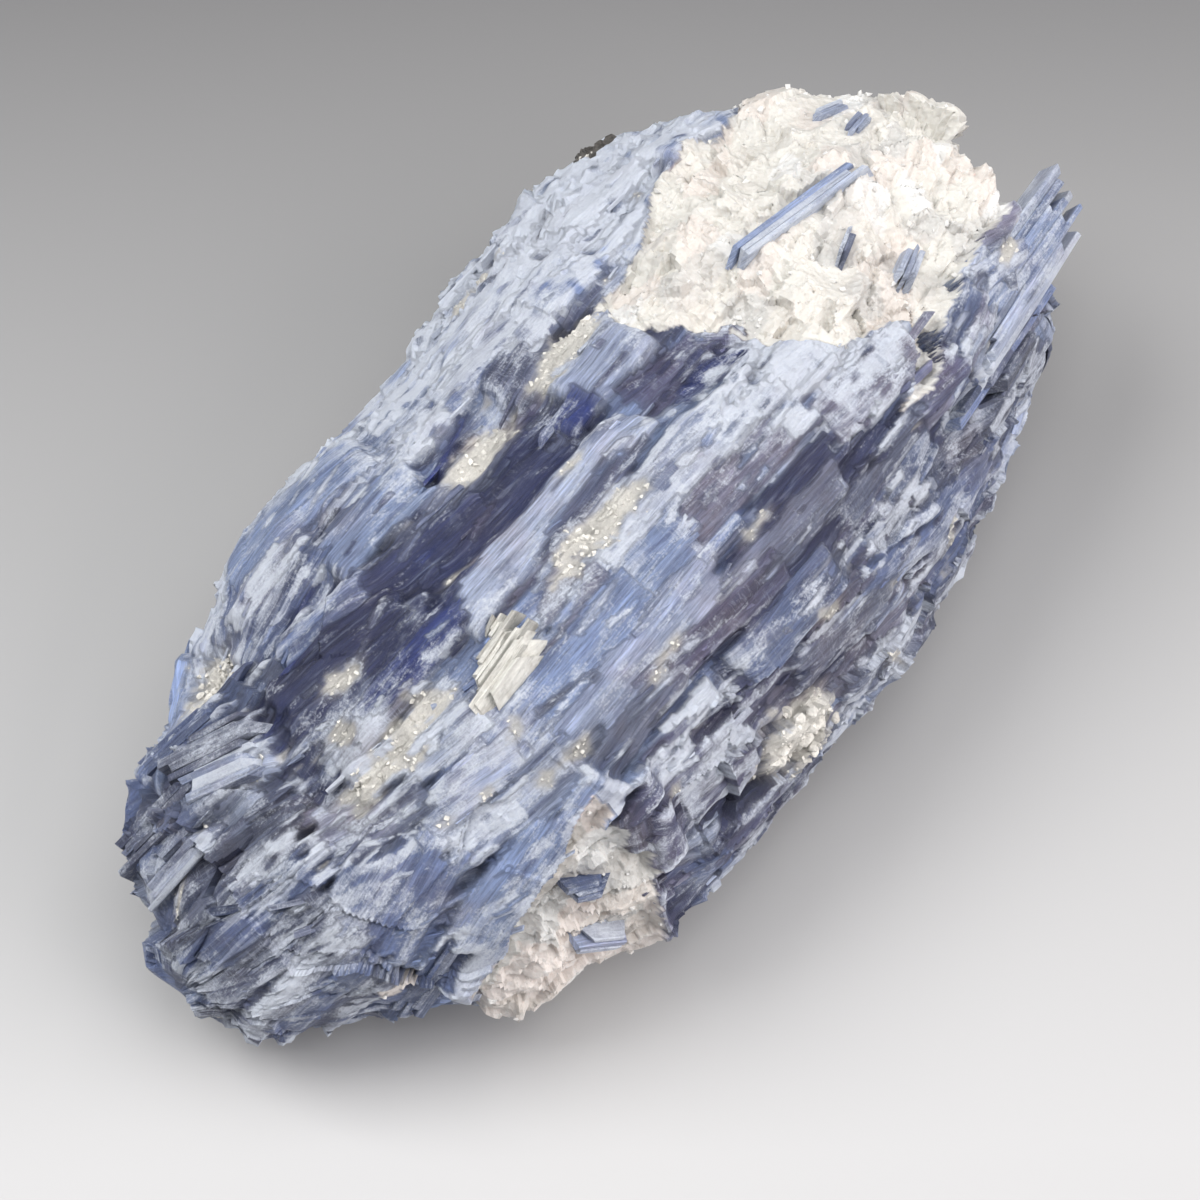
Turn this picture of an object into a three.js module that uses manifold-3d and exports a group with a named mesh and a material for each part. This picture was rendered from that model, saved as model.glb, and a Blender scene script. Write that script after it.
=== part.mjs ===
// A kyanite blade cluster: a hand specimen of interlocking blue kyanite blades with milky quartz grown
// through it. Millimetres, +Z up, +X along the blades towards the quartz end, lying on its broad back.
import * as THREE from "three";
import { mergeVertices } from "three/addons/utils/BufferGeometryUtils.js";
import Module from "manifold-3d";

const wasm = await Module();
wasm.setup();

// ---------- driving dimensions ----------
const GAP = 0.3; // clearance between two minerals that grew against each other
const CORE_INSET = 1.3; // how far the blade mass's core lies under the nominal surface
const BACK_POWER = 1.8; // how square the section's back shoulder is
const FRONT_POWER = 2.3; // the same for its front shoulder
const FOOT_POWER = 1.2; // and for the undercut between the widest line and the foot
const FOOT_BACK = 0.55; // the flat foot's reach, as a share of the section's reach to the back
const FOOT_FRONT = 0.6; // and to the front
const ARC_STEPS = 4; // facets in each quarter of a section
const FOOT_EDGE = 2.9999; // the front edge of the flat foot, as a place on the way round a section
const FOOT_TOLERANCE = 0.01; // corners this near the foot's plane stay in it
const ROUGHNESS = 0.5; // random unevenness of the core's corners
const OUTSIDE_ROUGHNESS = 0.8; // and of the outside that the quartz follows
const BLADE_ROOT = 4.0; // how deep a blade is rooted under the surface
const BEVEL = 0.72; // width of a blade's top face as a share of its full width
const END_SHOULDER = 0.6; // how far under its top face a blade's ends start to slope back
const END_LEAN = 0.8; // how far back they lean for each millimetre above that
const END_SKEW = [-0.5, 0.5]; // how far they are askew, for each millimetre across the blade
const SLOPE_STEP = 0.5; // distance either side over which the surface's slope is taken
const FLANK_STAGGER = 0.618; // share of the flank that each flank blade is moved on from the one before
const FLANK_DRIFT = [-0.05, 0.05]; // how far round the section a flank blade strays over its length
const FLANK_BESIDE = 0.02; // the step round the section that gives a flank blade its outward direction
const NUGGET_SWELL = [0.82, 1.12]; // unevenness of the small quartz bodies' corners
const MITRE_LIMIT = 0.4; // sharp corners of a widened outline move no further than this allows
const COLUMN_HEIGHT = 60; // taller than the rock
const TABLE_SPAN = 400; // wider than the rock
const MERGE_DISTANCE = 1e-4; // corners nearer than this are one
const SEEDS = { core: 3, outside: 11, blades: 7, nuggets: 20 };

// Sections of the whole rock along X: the foot's level, reach and level of the widest line at the back (+Y)
// and at the front (-Y), then the place and height of the crest.
const SECTIONS = [
  { x: -49, foot: 6.5, back: 2.5, backZ: 10, front: -6.5, frontZ: 8, crest: -2, top: 12 },
  { x: -46, foot: 3, back: 7.5, backZ: 11, front: -10.5, frontZ: 8, crest: -3, top: 17 },
  { x: -40, foot: 0, back: 12, backZ: 13, front: -16, frontZ: 7.5, crest: -4, top: 22 },
  { x: -30, foot: 0, back: 18, backZ: 14, front: -24.5, frontZ: 8, crest: -5, top: 27 },
  { x: -20, foot: 0, back: 21.5, backZ: 15, front: -28, frontZ: 9, crest: -5, top: 31 },
  { x: -10, foot: 0, back: 23.5, backZ: 15, front: -28, frontZ: 9, crest: -5, top: 33 },
  { x: 0, foot: 0, back: 25, backZ: 15, front: -27.5, frontZ: 10, crest: -4, top: 34 },
  { x: 10, foot: 0, back: 26.5, backZ: 15, front: -26.5, frontZ: 10, crest: -4, top: 34.5 },
  { x: 20, foot: 0, back: 28, backZ: 15, front: -24.5, frontZ: 11, crest: -3, top: 34.5 },
  { x: 30, foot: 0, back: 28, backZ: 15, front: -22, frontZ: 11, crest: -3, top: 34 },
  { x: 40, foot: 0, back: 23, backZ: 15, front: -19, frontZ: 11, crest: -1, top: 32 },
  { x: 49.5, foot: 1, back: 15, backZ: 15, front: -15, frontZ: 12, crest: 3, top: 28.5 },
  { x: 54.5, foot: 5, back: 7.5, backZ: 14, front: -11, frontZ: 12, crest: 2, top: 23 },
];
const END_BULGE = 1.5; // how far the middle of the quartz end stands out

// The bite out of the quartz end, between the cap and the horn: its plan outline and its floor.
const BITE_OUTLINE = [[49.5, 2], [47, -4], [46.4, -7.6], [48, -9.6], [70, -9.6], [70, 2]];
const BITE_FLOOR = 9;

// Blades on the top and flanks: [from x, from y, to x, to y, width, lift above the surface, roll in degrees].
const BLADES = [
  // light blue plates of the back flank
  [-25, 16.5, -10, 15, 6.5, 0.4, 6], [-9, 17.5, 3, 17.5, 6, 0.5, 4], [-2, 15.5, 14, 16.5, 5.5, 0.2, 2],
  [4, 12.3, 15, 13, 5, 0.8, 3], [-4, 12.5, 8, 12, 4.5, 0.3, 0], [-26, 18.5, -12, 20.5, 3.2, 0.4, 12],
  [-12, 21, 2, 23, 3, 0.5, 12], [1, 22.5, 13, 24, 3, 0.6, 10], [12, 21.5, 24, 23.5, 5, 0.3, 6],
  [14, 17, 26, 17.5, 5, 0.6, 4], [19, 21, 30, 22, 6, 0.9, 0], [26, 15.5, 37, 17, 4, 0.8, 8],
  // the dark middle: the stepped deep blue crystal, and what runs down from it
  [0, 2.6, 11, 3.6, 5, 1.2, -6], [-17, 1.2, -0.6, 1.4, 4.6, 0.1, -8], [-24, 3.8, -9, 2.6, 3.6, 0, 4],
  [-13, 5, -2, 6.5, 3, 0.2, 8], [-1.5, 8, 5, 9.6, 5, 0.4, 14], [4, -1, 14, -1.6, 4, 0.2, 4],
  [7, -3.6, 16, -4.6, 3, -0.2, -10], [-21, 8.6, -10, 8.8, 4.6, 0.3, 4], [-29, 7, -20, 4.6, 3.6, 0.4, 8],
  [-34, -0.6, -20, -3, 4, 0.8, -4], [-32, 3.6, -21, 1.2, 4, 0.6, 6], [-31, 10.2, -19, 11.6, 4.4, 0.6, 8],
  [-29, 13.6, -20, 13.2, 3, 0.9, 10], [14, 0.6, 17, -3, 3, -0.2, 0],
  // the pale blades of the middle
  [-23, -4.4, 5, -2.4, 4.6, 1.1, -6], [-11, -6.2, 3, -4.4, 2.4, 0.3, -12], [-8, -9, 14, -8.2, 6, 0.8, -4],
  [-24, -14, 4, -12.4, 5, 0.7, -4], [-7, -12.6, 1, -12, 4, 1.0, -6], [-1, -12.2, 15, -11.6, 3.4, 0.4, 0],
  [11, -11.8, 19.5, -11.2, 2.6, 1.2, -8], [-20, -17, 0, -15.4, 4, 0.6, -4], [-33, -6.2, -26, -7.8, 3, 1.2, 4],
  [-31, -8.4, -22, -10.6, 3, 0.8, -4], [-31, -12, -22, -14.6, 4, 0.8, 2], [13, -8.6, 19, -8.2, 3.6, 0.3, 0],
  // the lilac front ridge
  [1, -15.8, 16, -14.8, 3, 0.6, 4], [-3, -18, 13, -17, 3.4, 0.8, -4], [-13, -18.6, 4, -18.6, 3, 0.5, 0],
  [-23, -19.6, -9, -19, 3, 0.6, 4], [14, -13.6, 27, -13, 5, 0.4, -6], [9, -19.6, 23, -17.6, 3, 0.4, 6],
  [22, -16.4, 30, -16, 3.4, 0.3, 0],
  // beside and below the horn
  [38, -9.4, 48, -9, 2.4, 0.6, 0], [36, -12.4, 48, -11, 2.4, 0.5, -4], [22, -21.4, 40, -18.6, 3, 0.4, 6],
  [9, -23.4, 33, -20.6, 4, 0.4, 4], [14, -24.2, 33, -21.8, 3, 0.2, 8],
  // the front flank
  [-5, -22, 8, -21.2, 4, 0.5, 4], [-1, -24.6, 13, -24.2, 4, 0.5, 8], [-18, -25, -6, -25.6, 6.5, 0.7, 4],
  [-17, -22.4, -11, -23, 3, 0.9, 10], [-13, -21.6, -7, -21.6, 2.2, 1.0, -8],
  [-16.6, -20.6, -19.4, -28, 3, 1.3, 20], [-19.4, -22.6, -22, -28, 2.6, 0.8, -10],
  [4, -26.3, 18, -25, 4, 0.3, 2], [16, -25, 31, -21.6, 4, 0.3, 2],
  [29, -21.4, 44, -17, 4, 0.3, 4], [-14, -27.6, -3, -27.4, 4, 0.2, 0], [6, -26.4, 26, -23.4, 3, 0, 12],
  // the bright blade and its neighbours at the lower end
  [-36.5, -18.4, -15.5, -20.4, 6.5, 3.2, -8], [-31, -15.6, -20, -17.6, 3.4, 1.2, -12],
  [-41, -14, -30, -14.4, 4.6, 1.4, 0], [-42, -11, -32, -11.2, 4, 1.1, 6], [-36, -8.6, -29, -11, 3, 0.9, 10],
  [-40, -16.6, -34, -18.4, 3, 0.8, 0],
  // the fanned plate of the lower end
  [-46.5, 1.8, -36.5, -2.6, 3, 1.1, 8], [-49, -0.4, -36, -5.4, 3, 1.5, 6], [-50, -2.8, -37, -7.8, 3, 1.7, 4],
  [-50, -5.2, -38.5, -10, 3, 1.6, 2], [-49, -7.6, -38.5, -12.2, 3, 1.4, 0],
  [-47.4, -9.8, -39, -13.8, 3, 1.2, 0], [-45, -12.2, -38, -15.4, 3, 1, -4],
  // the splintered left cluster, which stands over the fanned plate
  [-46.5, 8.2, -38, 4.2, 2.6, 2.2, 6], [-46.5, 6, -37, 2.2, 2.2, 1.6, -8], [-47.6, 4, -41, 1.4, 2, 1.2, 10],
  [-40.5, 11.4, -33, 7.4, 2.6, 1.8, 6], [-40, 8.6, -32.6, 3, 3, 2.2, 0], [-40.4, 5.6, -34, 0.6, 3, 2, -4],
  [-36, 13.4, -30, 17.2, 2.4, 1.2, 20], [-30.5, 16.2, -24, 18.2, 2.6, 1.0, 16],
];

// The horn, a bundle that stands out past the quartz end: [from x, y, z, to x, y, z, width, roll in degrees].
const HORN_BLADES = [
  [27, -16, 30, 55.4, -9.6, 25.6, 3.4, 30], [30, -17.6, 28.4, 54, -11.2, 23.6, 2.6, 42],
  [26, -19, 27, 51, -13, 21.4, 3, 46], [31, -19.4, 25, 47, -15.2, 19.4, 3, 52],
];

// Blades that lie along the undercut flanks: how many, between which x, how long and wide, how far round.
// The way round is 2 to 3 from the front's widest line down to the foot, 3 to 4 from there up to the back's.
const FLANK_BLADES = {
  count: 30,
  fromX: -38,
  toX: 44,
  lengths: [12, 22],
  widths: [3, 6],
  placeFrom: 2.3,
  placeTo: 3.8,
  inset: 1.6,
  lift: 0.3,
};

// Milky quartz: plan outlines, and the height each starts from.
const CAP_OUTLINE = [
  [10, 9.5], [10.6, 4.6], [13.4, 0.8], [15, -3], [19, -6.4], [20, -9.8], [27, -11], [23, -15], [21.6, -17.2],
  [25, -17.6], [31, -14], [36, -11], [46, -8.4], [54, -8], [62, 0], [62, 18], [46, 24], [37, 14.6],
  [29, 13.6], [24, 12.8], [17, 11],
];
const CAP_FLOOR = 24;
const CAP_ROOT_OUTLINE = [[34, -6], [62, -6], [62, 24], [38, 24], [33, 10]];
const CAP_ROOT_FLOOR = 7;
const POCKET_OUTLINE = [
  [-41, -15.6], [-37.5, -20.4], [-30, -21.2], [-25, -22], [-21.4, -21.6], [-21, -26], [-22, -34], [-42, -34],
  [-44, -17],
];
const POCKET_FLOOR = 2.5;

// Small quartz bodies seated in the blades: centre, half sizes and heading.
const NUGGETS = {
  quartz_nugget: { at: [-2, -26.4], half: [4.6, 2.6, 3.4], heading: 10, sink: 1.0 },
  quartz_cavity: { at: [-32.6, 12.2], half: [4.2, 2.4, 2.6], heading: 35, sink: 1.2 },
  quartz_lens_1: { at: [-7, -7.4], half: [7.5, 1.5, 2], heading: 6, sink: 1.0 },
  quartz_lens_2: { at: [-6, 6.2], half: [4.6, 1.5, 1.8], heading: 8, sink: 0.8 },
  quartz_lens_3: { at: [7.4, 8], half: [3.6, 1.3, 1.8], heading: 10, sink: 0.8 },
};

// Single crystals in the quartz and on the blades: [from x, from y, to x, to y, width, lift, roll], how
// deep each is rooted and what it is made of.
const CRYSTALS = {
  cap_blade: { line: [20.4, 1.8, 37.6, 1.2, 1.9, 1.5, 0], root: 2.4, finish: "kyanite" },
  cap_splinter_1: { line: [39.6, 9.4, 44.6, 8.8, 1.2, 0.7, 0], root: 1.6, finish: "kyanite" },
  cap_splinter_2: { line: [40, 5.4, 43.8, 6.4, 1.4, 0.6, 10], root: 1.6, finish: "kyanite" },
  cap_splinter_3: { line: [29.6, -9.2, 34, -7.4, 1.6, 0.7, 0], root: 1.6, finish: "kyanite" },
  cap_splinter_4: { line: [26.6, -4.6, 31.2, -2.6, 0.9, 0.6, 0], root: 1.6, finish: "kyanite" },
  pocket_blade_1: { line: [-26.5, -22.8, -22.4, -25, 1.8, 0.8, 0], root: 2, finish: "kyanite" },
  pocket_blade_2: { line: [-27.5, -24.6, -23, -26.8, 2, 0.8, 0], root: 2, finish: "kyanite" },
  mica_book: { line: [-24.4, -9.4, -13, -8.4, 2.8, 1.2, -14], root: 2, finish: "mica" },
  black_mineral: { line: [24.6, 24.4, 29.4, 23.6, 2, 1.2, 0], root: 1.6, finish: "blackMineral" },
};

const FINISH = {
  kyanite: { color: 0x8392b8, roughness: 0.45, metalness: 0 },
  quartz: { color: 0xf1ece1, roughness: 0.5, metalness: 0 },
  mica: { color: 0xd9d5c6, roughness: 0.3, metalness: 0 },
  blackMineral: { color: 0x26241f, roughness: 0.4, metalness: 0 },
};

// ---------- helpers ----------
function seededRandom(seed) {
  let state = seed;
  return () => {
    state = (state * 1664525 + 1013904223) % 4294967296;
    return state / 4294967296;
  };
}

function between(random, low, high) {
  return low + (high - low) * random();
}

// A section's dimensions at any x, straight between the listed ones.
function sectionAt(x) {
  const last = SECTIONS.length - 1;
  const clamped = THREE.MathUtils.clamp(x, SECTIONS[0].x, SECTIONS[last].x);
  const next = Math.max(1, SECTIONS.findIndex((s) => s.x >= clamped));
  const a = SECTIONS[next - 1];
  const b = SECTIONS[next];
  const share = (clamped - a.x) / (b.x - a.x);
  return Object.fromEntries(Object.keys(a).map((k) => [k, THREE.MathUtils.lerp(a[k], b[k], share)]));
}

// A quarter of a superellipse: 1 at its start, 0 at its end, for a share of the way across.
function shoulder(share, power) {
  return Math.pow(Math.max(0, 1 - Math.pow(Math.min(1, Math.abs(share)), power)), 1 / power);
}

// Height of the nominal upper surface.
function surfaceHeight(x, y) {
  const s = sectionAt(x);
  if (y >= s.crest) {
    return s.backZ + (s.top - s.backZ) * shoulder((y - s.crest) / (s.back - s.crest), BACK_POWER);
  }
  return s.frontZ + (s.top - s.frontZ) * shoulder((s.crest - y) / (s.crest - s.front), FRONT_POWER);
}

function surfacePoint(x, y, lift) {
  return new THREE.Vector3(x, y, surfaceHeight(x, y) + lift);
}

// A point on the whole section: place 0 to 1 is the back shoulder up to the crest, 1 to 2 the front
// shoulder, 2 to 3 the undercut down to the foot, and 3 to 4 the foot and up to the back again.
function sectionPoint(s, place, inset) {
  const arc = Math.floor(place) % 4;
  const angle = (place - Math.floor(place)) * (Math.PI / 2);
  const bend = (value, power) => Math.pow(Math.max(0, value), 2 / power);
  const footBack = s.back * FOOT_BACK;
  const footFront = s.front * FOOT_FRONT;
  const top = s.top - inset;
  const back = s.back - inset;
  const front = s.front + inset;
  if (arc === 0) {
    return [
      s.crest + (back - s.crest) * bend(Math.cos(angle), BACK_POWER),
      s.backZ + (top - s.backZ) * bend(Math.sin(angle), BACK_POWER),
    ];
  }
  if (arc === 1) {
    return [
      s.crest + (front - s.crest) * bend(Math.sin(angle), FRONT_POWER),
      s.frontZ + (top - s.frontZ) * bend(Math.cos(angle), FRONT_POWER),
    ];
  }
  if (arc === 2) {
    return [
      footFront + (front - footFront) * bend(Math.cos(angle), FOOT_POWER),
      s.frontZ + (s.foot - s.frontZ) * bend(Math.sin(angle), FOOT_POWER),
    ];
  }
  return [
    footBack + (back - footBack) * bend(Math.sin(angle), FOOT_POWER),
    s.backZ + (s.foot - s.backZ) * bend(Math.cos(angle), FOOT_POWER),
  ];
}

// A copy that holds positions only, with shared corners.
function bare(geometry) {
  const copy = geometry.clone();
  copy.deleteAttribute("normal");
  copy.deleteAttribute("uv");
  return mergeVertices(copy, MERGE_DISTANCE);
}

function solidOf(geometry) {
  const merged = bare(geometry);
  return new wasm.Manifold(
    new wasm.Mesh({
      numProp: 3,
      vertProperties: new Float32Array(merged.attributes.position.array),
      triVerts: new Uint32Array(merged.index.array),
    }),
  );
}

function geometryOf(solid) {
  const mesh = solid.getMesh();
  const geometry = new THREE.BufferGeometry();
  geometry.setAttribute("position", new THREE.BufferAttribute(mesh.vertProperties, 3));
  geometry.setIndex(new THREE.BufferAttribute(mesh.triVerts, 1));
  geometry.computeVertexNormals();
  return geometry;
}

function geometryFrom(points, faces) {
  const geometry = new THREE.BufferGeometry();
  geometry.setAttribute("position", new THREE.Float32BufferAttribute(points.flat(), 3));
  geometry.setIndex(faces.flat());
  return geometry;
}

// Skins rings of equal length, with a fan on a middle point at each end. The last one stands out by bulge.
function loft(rings, bulge = 0) {
  const points = rings.flat();
  const size = rings[0].length;
  const faces = [];
  for (let r = 0; r + 1 < rings.length; r++) {
    for (let i = 0; i < size; i++) {
      const j = (i + 1) % size;
      const a = r * size;
      const b = a + size;
      faces.push([a + i, a + j, b + j], [a + i, b + j, b + i]);
    }
  }
  const middle = (ring) => ring[0].map((_, k) => ring.reduce((sum, p) => sum + p[k], 0) / size);
  const last = (rings.length - 1) * size;
  const ends = [middle(rings[0]), middle(rings[rings.length - 1])];
  ends[1][0] += bulge;
  points.push(...ends);
  for (let i = 0; i < size; i++) {
    const j = (i + 1) % size;
    faces.push([points.length - 2, j, i], [points.length - 1, last + i, last + j]);
  }
  return geometryFrom(points, faces);
}

// ---------- the rock as a whole ----------
function rockSolid(inset, roughness, seed) {
  const random = seededRandom(seed);
  const places = Array.from({ length: ARC_STEPS * 4 }, (_, i) => i / ARC_STEPS);
  places.splice(ARC_STEPS * 3, 0, FOOT_EDGE);
  const rings = SECTIONS.map((s) => {
    const ring = [];
    for (const place of places) {
      const [y, z] = sectionPoint(s, place, inset);
      const onFoot = z < FOOT_TOLERANCE;
      const jitter = () => (onFoot ? 0 : between(random, -roughness, roughness));
      ring.push([s.x + jitter(), y + jitter(), z + jitter()]);
    }
    return ring;
  });
  return solidOf(loft(rings, END_BULGE)).subtract(column(BITE_OUTLINE, BITE_FLOOR, 0));
}

// ---------- blades ----------
// A blade rooted in the rock: its top face is narrower than its root, and its ends are broken askew.
function bladeSolid(from, to, up, width, root, grow, skew) {
  const along = to.clone().sub(from).normalize();
  const across = new THREE.Vector3().crossVectors(up, along).normalize();
  const out = new THREE.Vector3().crossVectors(along, across).normalize();
  const place = new THREE.Matrix4().makeBasis(along, across, out).setPosition(from);
  const length = from.distanceTo(to) + grow;
  const half = width / 2 + grow;
  const corners = [
    [-half, -root - grow],
    [half, -root - grow],
    [half * BEVEL, grow],
    [-half * BEVEL, grow],
  ];
  const rings = [0, 1].map((end) =>
    corners.map(([y, z]) => {
      const slope = Math.max(0, z + END_SHOULDER) * END_LEAN;
      const lean = skew[end] * y + (end ? -slope : slope);
      return new THREE.Vector3(end ? length + lean : -grow + lean, y, z).applyMatrix4(place).toArray();
    }),
  );
  return solidOf(loft(rings));
}

function surfaceBlade([x0, y0, x1, y1, width, lift, roll], root, grow, random) {
  const from = surfacePoint(x0, y0, lift);
  const to = surfacePoint(x1, y1, lift);
  const [x, y] = [(x0 + x1) / 2, (y0 + y1) / 2];
  const rise = surfaceHeight(x, y + SLOPE_STEP) - surfaceHeight(x, y - SLOPE_STEP);
  const sideways = new THREE.Vector3(0, SLOPE_STEP * 2, rise);
  const along = to.clone().sub(from).normalize();
  const up = new THREE.Vector3().crossVectors(along, sideways).normalize();
  if (up.z < 0) up.negate();
  up.applyAxisAngle(along, THREE.MathUtils.degToRad(roll));
  const skew = [between(random, ...END_SKEW), between(random, ...END_SKEW)];
  return bladeSolid(from, to, up, width, root, grow, skew);
}

function hornBlade([x0, y0, z0, x1, y1, z1, width, roll], grow, random) {
  const from = new THREE.Vector3(x0, y0, z0);
  const to = new THREE.Vector3(x1, y1, z1);
  const along = to.clone().sub(from).normalize();
  const up = new THREE.Vector3(0, 0, 1).applyAxisAngle(along, THREE.MathUtils.degToRad(roll));
  const skew = [between(random, ...END_SKEW), between(random, ...END_SKEW)];
  return bladeSolid(from, to, up, width, BLADE_ROOT, grow, skew);
}

function flankBlade(index, grow, random) {
  const { count, fromX, toX, lengths, widths, placeFrom, placeTo, inset, lift } = FLANK_BLADES;
  const length = between(random, ...lengths);
  const x = fromX + (toX - fromX - length) * ((index * FLANK_STAGGER) % 1);
  const place = placeFrom + ((placeTo - placeFrom) * (index + 0.5)) / count;
  const width = between(random, ...widths);
  const end = (s, shift) => {
    const [y, z] = sectionPoint(s, place + shift, inset);
    return new THREE.Vector3(s.x, y, z);
  };
  const from = end(sectionAt(x), 0);
  const to = end(sectionAt(x + length), between(random, ...FLANK_DRIFT));
  const beside = end(sectionAt(x), FLANK_BESIDE);
  const along = to.clone().sub(from).normalize();
  const up = new THREE.Vector3().crossVectors(along, beside.sub(from)).normalize();
  from.addScaledVector(up, lift);
  to.addScaledVector(up, lift);
  const skew = [between(random, ...END_SKEW), between(random, ...END_SKEW)];
  return bladeSolid(from, to, up, width, BLADE_ROOT, grow, skew);
}

function allBlades(grow) {
  const random = seededRandom(SEEDS.blades);
  const solids = BLADES.map((spec) => surfaceBlade(spec, BLADE_ROOT, grow, random));
  solids.push(...HORN_BLADES.map((spec) => hornBlade(spec, grow, random)));
  for (let i = 0; i < FLANK_BLADES.count; i++) solids.push(flankBlade(i, grow, random));
  return solids.reduce((whole, solid) => whole.add(solid));
}

function crystal(name, grow) {
  const { line, root } = CRYSTALS[name];
  return surfaceBlade(line, root, grow, seededRandom(name.length));
}

// ---------- quartz ----------
// The outline moved outwards by a distance, corner by corner.
function offsetOutline(outline, distance) {
  const turn = THREE.ShapeUtils.area(outline.map(([x, y]) => new THREE.Vector2(x, y))) > 0 ? 1 : -1;
  return outline.map(([x, y], i) => {
    const [px, py] = outline[(i + outline.length - 1) % outline.length];
    const [nx, ny] = outline[(i + 1) % outline.length];
    const a = new THREE.Vector2(y - py, px - x).normalize();
    const b = new THREE.Vector2(ny - y, x - nx).normalize();
    const corner = a.clone().add(b).normalize();
    const reach = distance / Math.max(MITRE_LIMIT, corner.dot(a));
    return [x + corner.x * reach * turn, y + corner.y * reach * turn];
  });
}

function column(outline, floor, grow) {
  const shape = new THREE.Shape(offsetOutline(outline, grow).map(([x, y]) => new THREE.Vector2(x, y)));
  const geometry = new THREE.ExtrudeGeometry(shape, { depth: COLUMN_HEIGHT, bevelEnabled: false });
  geometry.translate(0, 0, floor - grow);
  return solidOf(geometry);
}

function quartzRegion(outlines, grow) {
  return outlines.map(([outline, floor]) => column(outline, floor, grow)).reduce((a, b) => a.add(b));
}

function nugget({ at, half, heading, sink }, grow, seed) {
  const random = seededRandom(seed);
  const geometry = bare(new THREE.IcosahedronGeometry(1, 1));
  const corners = geometry.attributes.position;
  for (let i = 0; i < corners.count; i++) {
    const swell = between(random, ...NUGGET_SWELL);
    const p = new THREE.Vector3().fromBufferAttribute(corners, i).multiplyScalar(swell);
    corners.setXYZ(i, p.x * (half[0] + grow), p.y * (half[1] + grow), p.z * (half[2] + grow));
  }
  geometry.rotateZ(THREE.MathUtils.degToRad(heading));
  geometry.translate(at[0], at[1], surfaceHeight(at[0], at[1]) - sink);
  return solidOf(geometry);
}

// ---------- assembly ----------
function largestBody(solid) {
  return solid.decompose().reduce((a, b) => (b.volume() > a.volume() ? b : a));
}

function aboveTable() {
  const geometry = new THREE.BoxGeometry(TABLE_SPAN, TABLE_SPAN, TABLE_SPAN);
  geometry.translate(0, 0, TABLE_SPAN / 2);
  return solidOf(geometry);
}

function named(name, solid, finish) {
  const mesh = new THREE.Mesh(geometryOf(largestBody(solid)), new THREE.MeshStandardMaterial(finish));
  mesh.name = name;
  return mesh;
}

const CAP = [[CAP_OUTLINE, CAP_FLOOR], [CAP_ROOT_OUTLINE, CAP_ROOT_FLOOR]];
const POCKET = [[POCKET_OUTLINE, POCKET_FLOOR]];
const table = aboveTable();
const crystalsGrown = Object.keys(CRYSTALS).map((name) => crystal(name, GAP)).reduce((a, b) => a.add(b));
const nuggetsGrown = Object.values(NUGGETS)
  .map((spec, i) => nugget(spec, GAP, SEEDS.nuggets + i))
  .reduce((a, b) => a.add(b));

const kyaniteMass = rockSolid(CORE_INSET, ROUGHNESS, SEEDS.core)
  .subtract(quartzRegion(CAP, GAP))
  .subtract(quartzRegion(POCKET, GAP))
  .add(allBlades(0))
  .subtract(nuggetsGrown)
  .subtract(crystalsGrown)
  .intersect(table);
const bladesGrown = allBlades(GAP);
const wholeRock = rockSolid(0, OUTSIDE_ROUGHNESS, SEEDS.outside).intersect(table);

const cluster = new THREE.Group();
cluster.name = "kyanite_blade_cluster";
cluster.add(named("kyanite_mass", kyaniteMass, FINISH.kyanite));
for (const [name, region] of [["quartz_cap", CAP], ["quartz_pocket", POCKET]]) {
  const solid = wholeRock.intersect(quartzRegion(region, 0)).subtract(bladesGrown).subtract(crystalsGrown);
  cluster.add(named(name, solid.subtract(nuggetsGrown), FINISH.quartz));
}
Object.entries(NUGGETS).forEach(([name, spec], i) => {
  cluster.add(named(name, nugget(spec, 0, SEEDS.nuggets + i).subtract(crystalsGrown), FINISH.quartz));
});
for (const [name, { finish }] of Object.entries(CRYSTALS)) {
  cluster.add(named(name, crystal(name, 0), FINISH[finish]));
}

export default cluster;
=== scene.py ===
import math

import bmesh
import bpy
import numpy as np
from mathutils import Matrix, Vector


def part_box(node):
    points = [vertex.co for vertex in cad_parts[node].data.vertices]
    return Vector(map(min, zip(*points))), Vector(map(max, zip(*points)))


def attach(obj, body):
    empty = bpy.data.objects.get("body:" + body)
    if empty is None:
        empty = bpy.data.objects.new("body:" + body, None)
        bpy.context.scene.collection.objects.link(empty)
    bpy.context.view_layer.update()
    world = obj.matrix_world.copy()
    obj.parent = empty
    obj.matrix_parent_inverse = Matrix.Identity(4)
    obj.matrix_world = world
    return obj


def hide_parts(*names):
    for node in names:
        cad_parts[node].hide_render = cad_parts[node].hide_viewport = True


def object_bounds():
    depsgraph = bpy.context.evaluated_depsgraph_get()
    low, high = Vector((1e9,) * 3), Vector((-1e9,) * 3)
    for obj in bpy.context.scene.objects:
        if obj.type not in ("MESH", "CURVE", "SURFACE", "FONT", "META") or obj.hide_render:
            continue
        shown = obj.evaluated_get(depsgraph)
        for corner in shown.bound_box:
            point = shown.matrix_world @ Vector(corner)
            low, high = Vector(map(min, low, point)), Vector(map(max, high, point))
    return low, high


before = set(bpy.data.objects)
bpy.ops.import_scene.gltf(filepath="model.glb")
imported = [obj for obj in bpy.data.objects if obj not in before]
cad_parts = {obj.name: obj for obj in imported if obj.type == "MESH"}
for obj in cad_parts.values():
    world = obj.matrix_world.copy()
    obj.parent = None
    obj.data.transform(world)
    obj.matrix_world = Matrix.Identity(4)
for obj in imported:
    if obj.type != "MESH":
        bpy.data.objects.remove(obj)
CAD_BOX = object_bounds()

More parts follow.
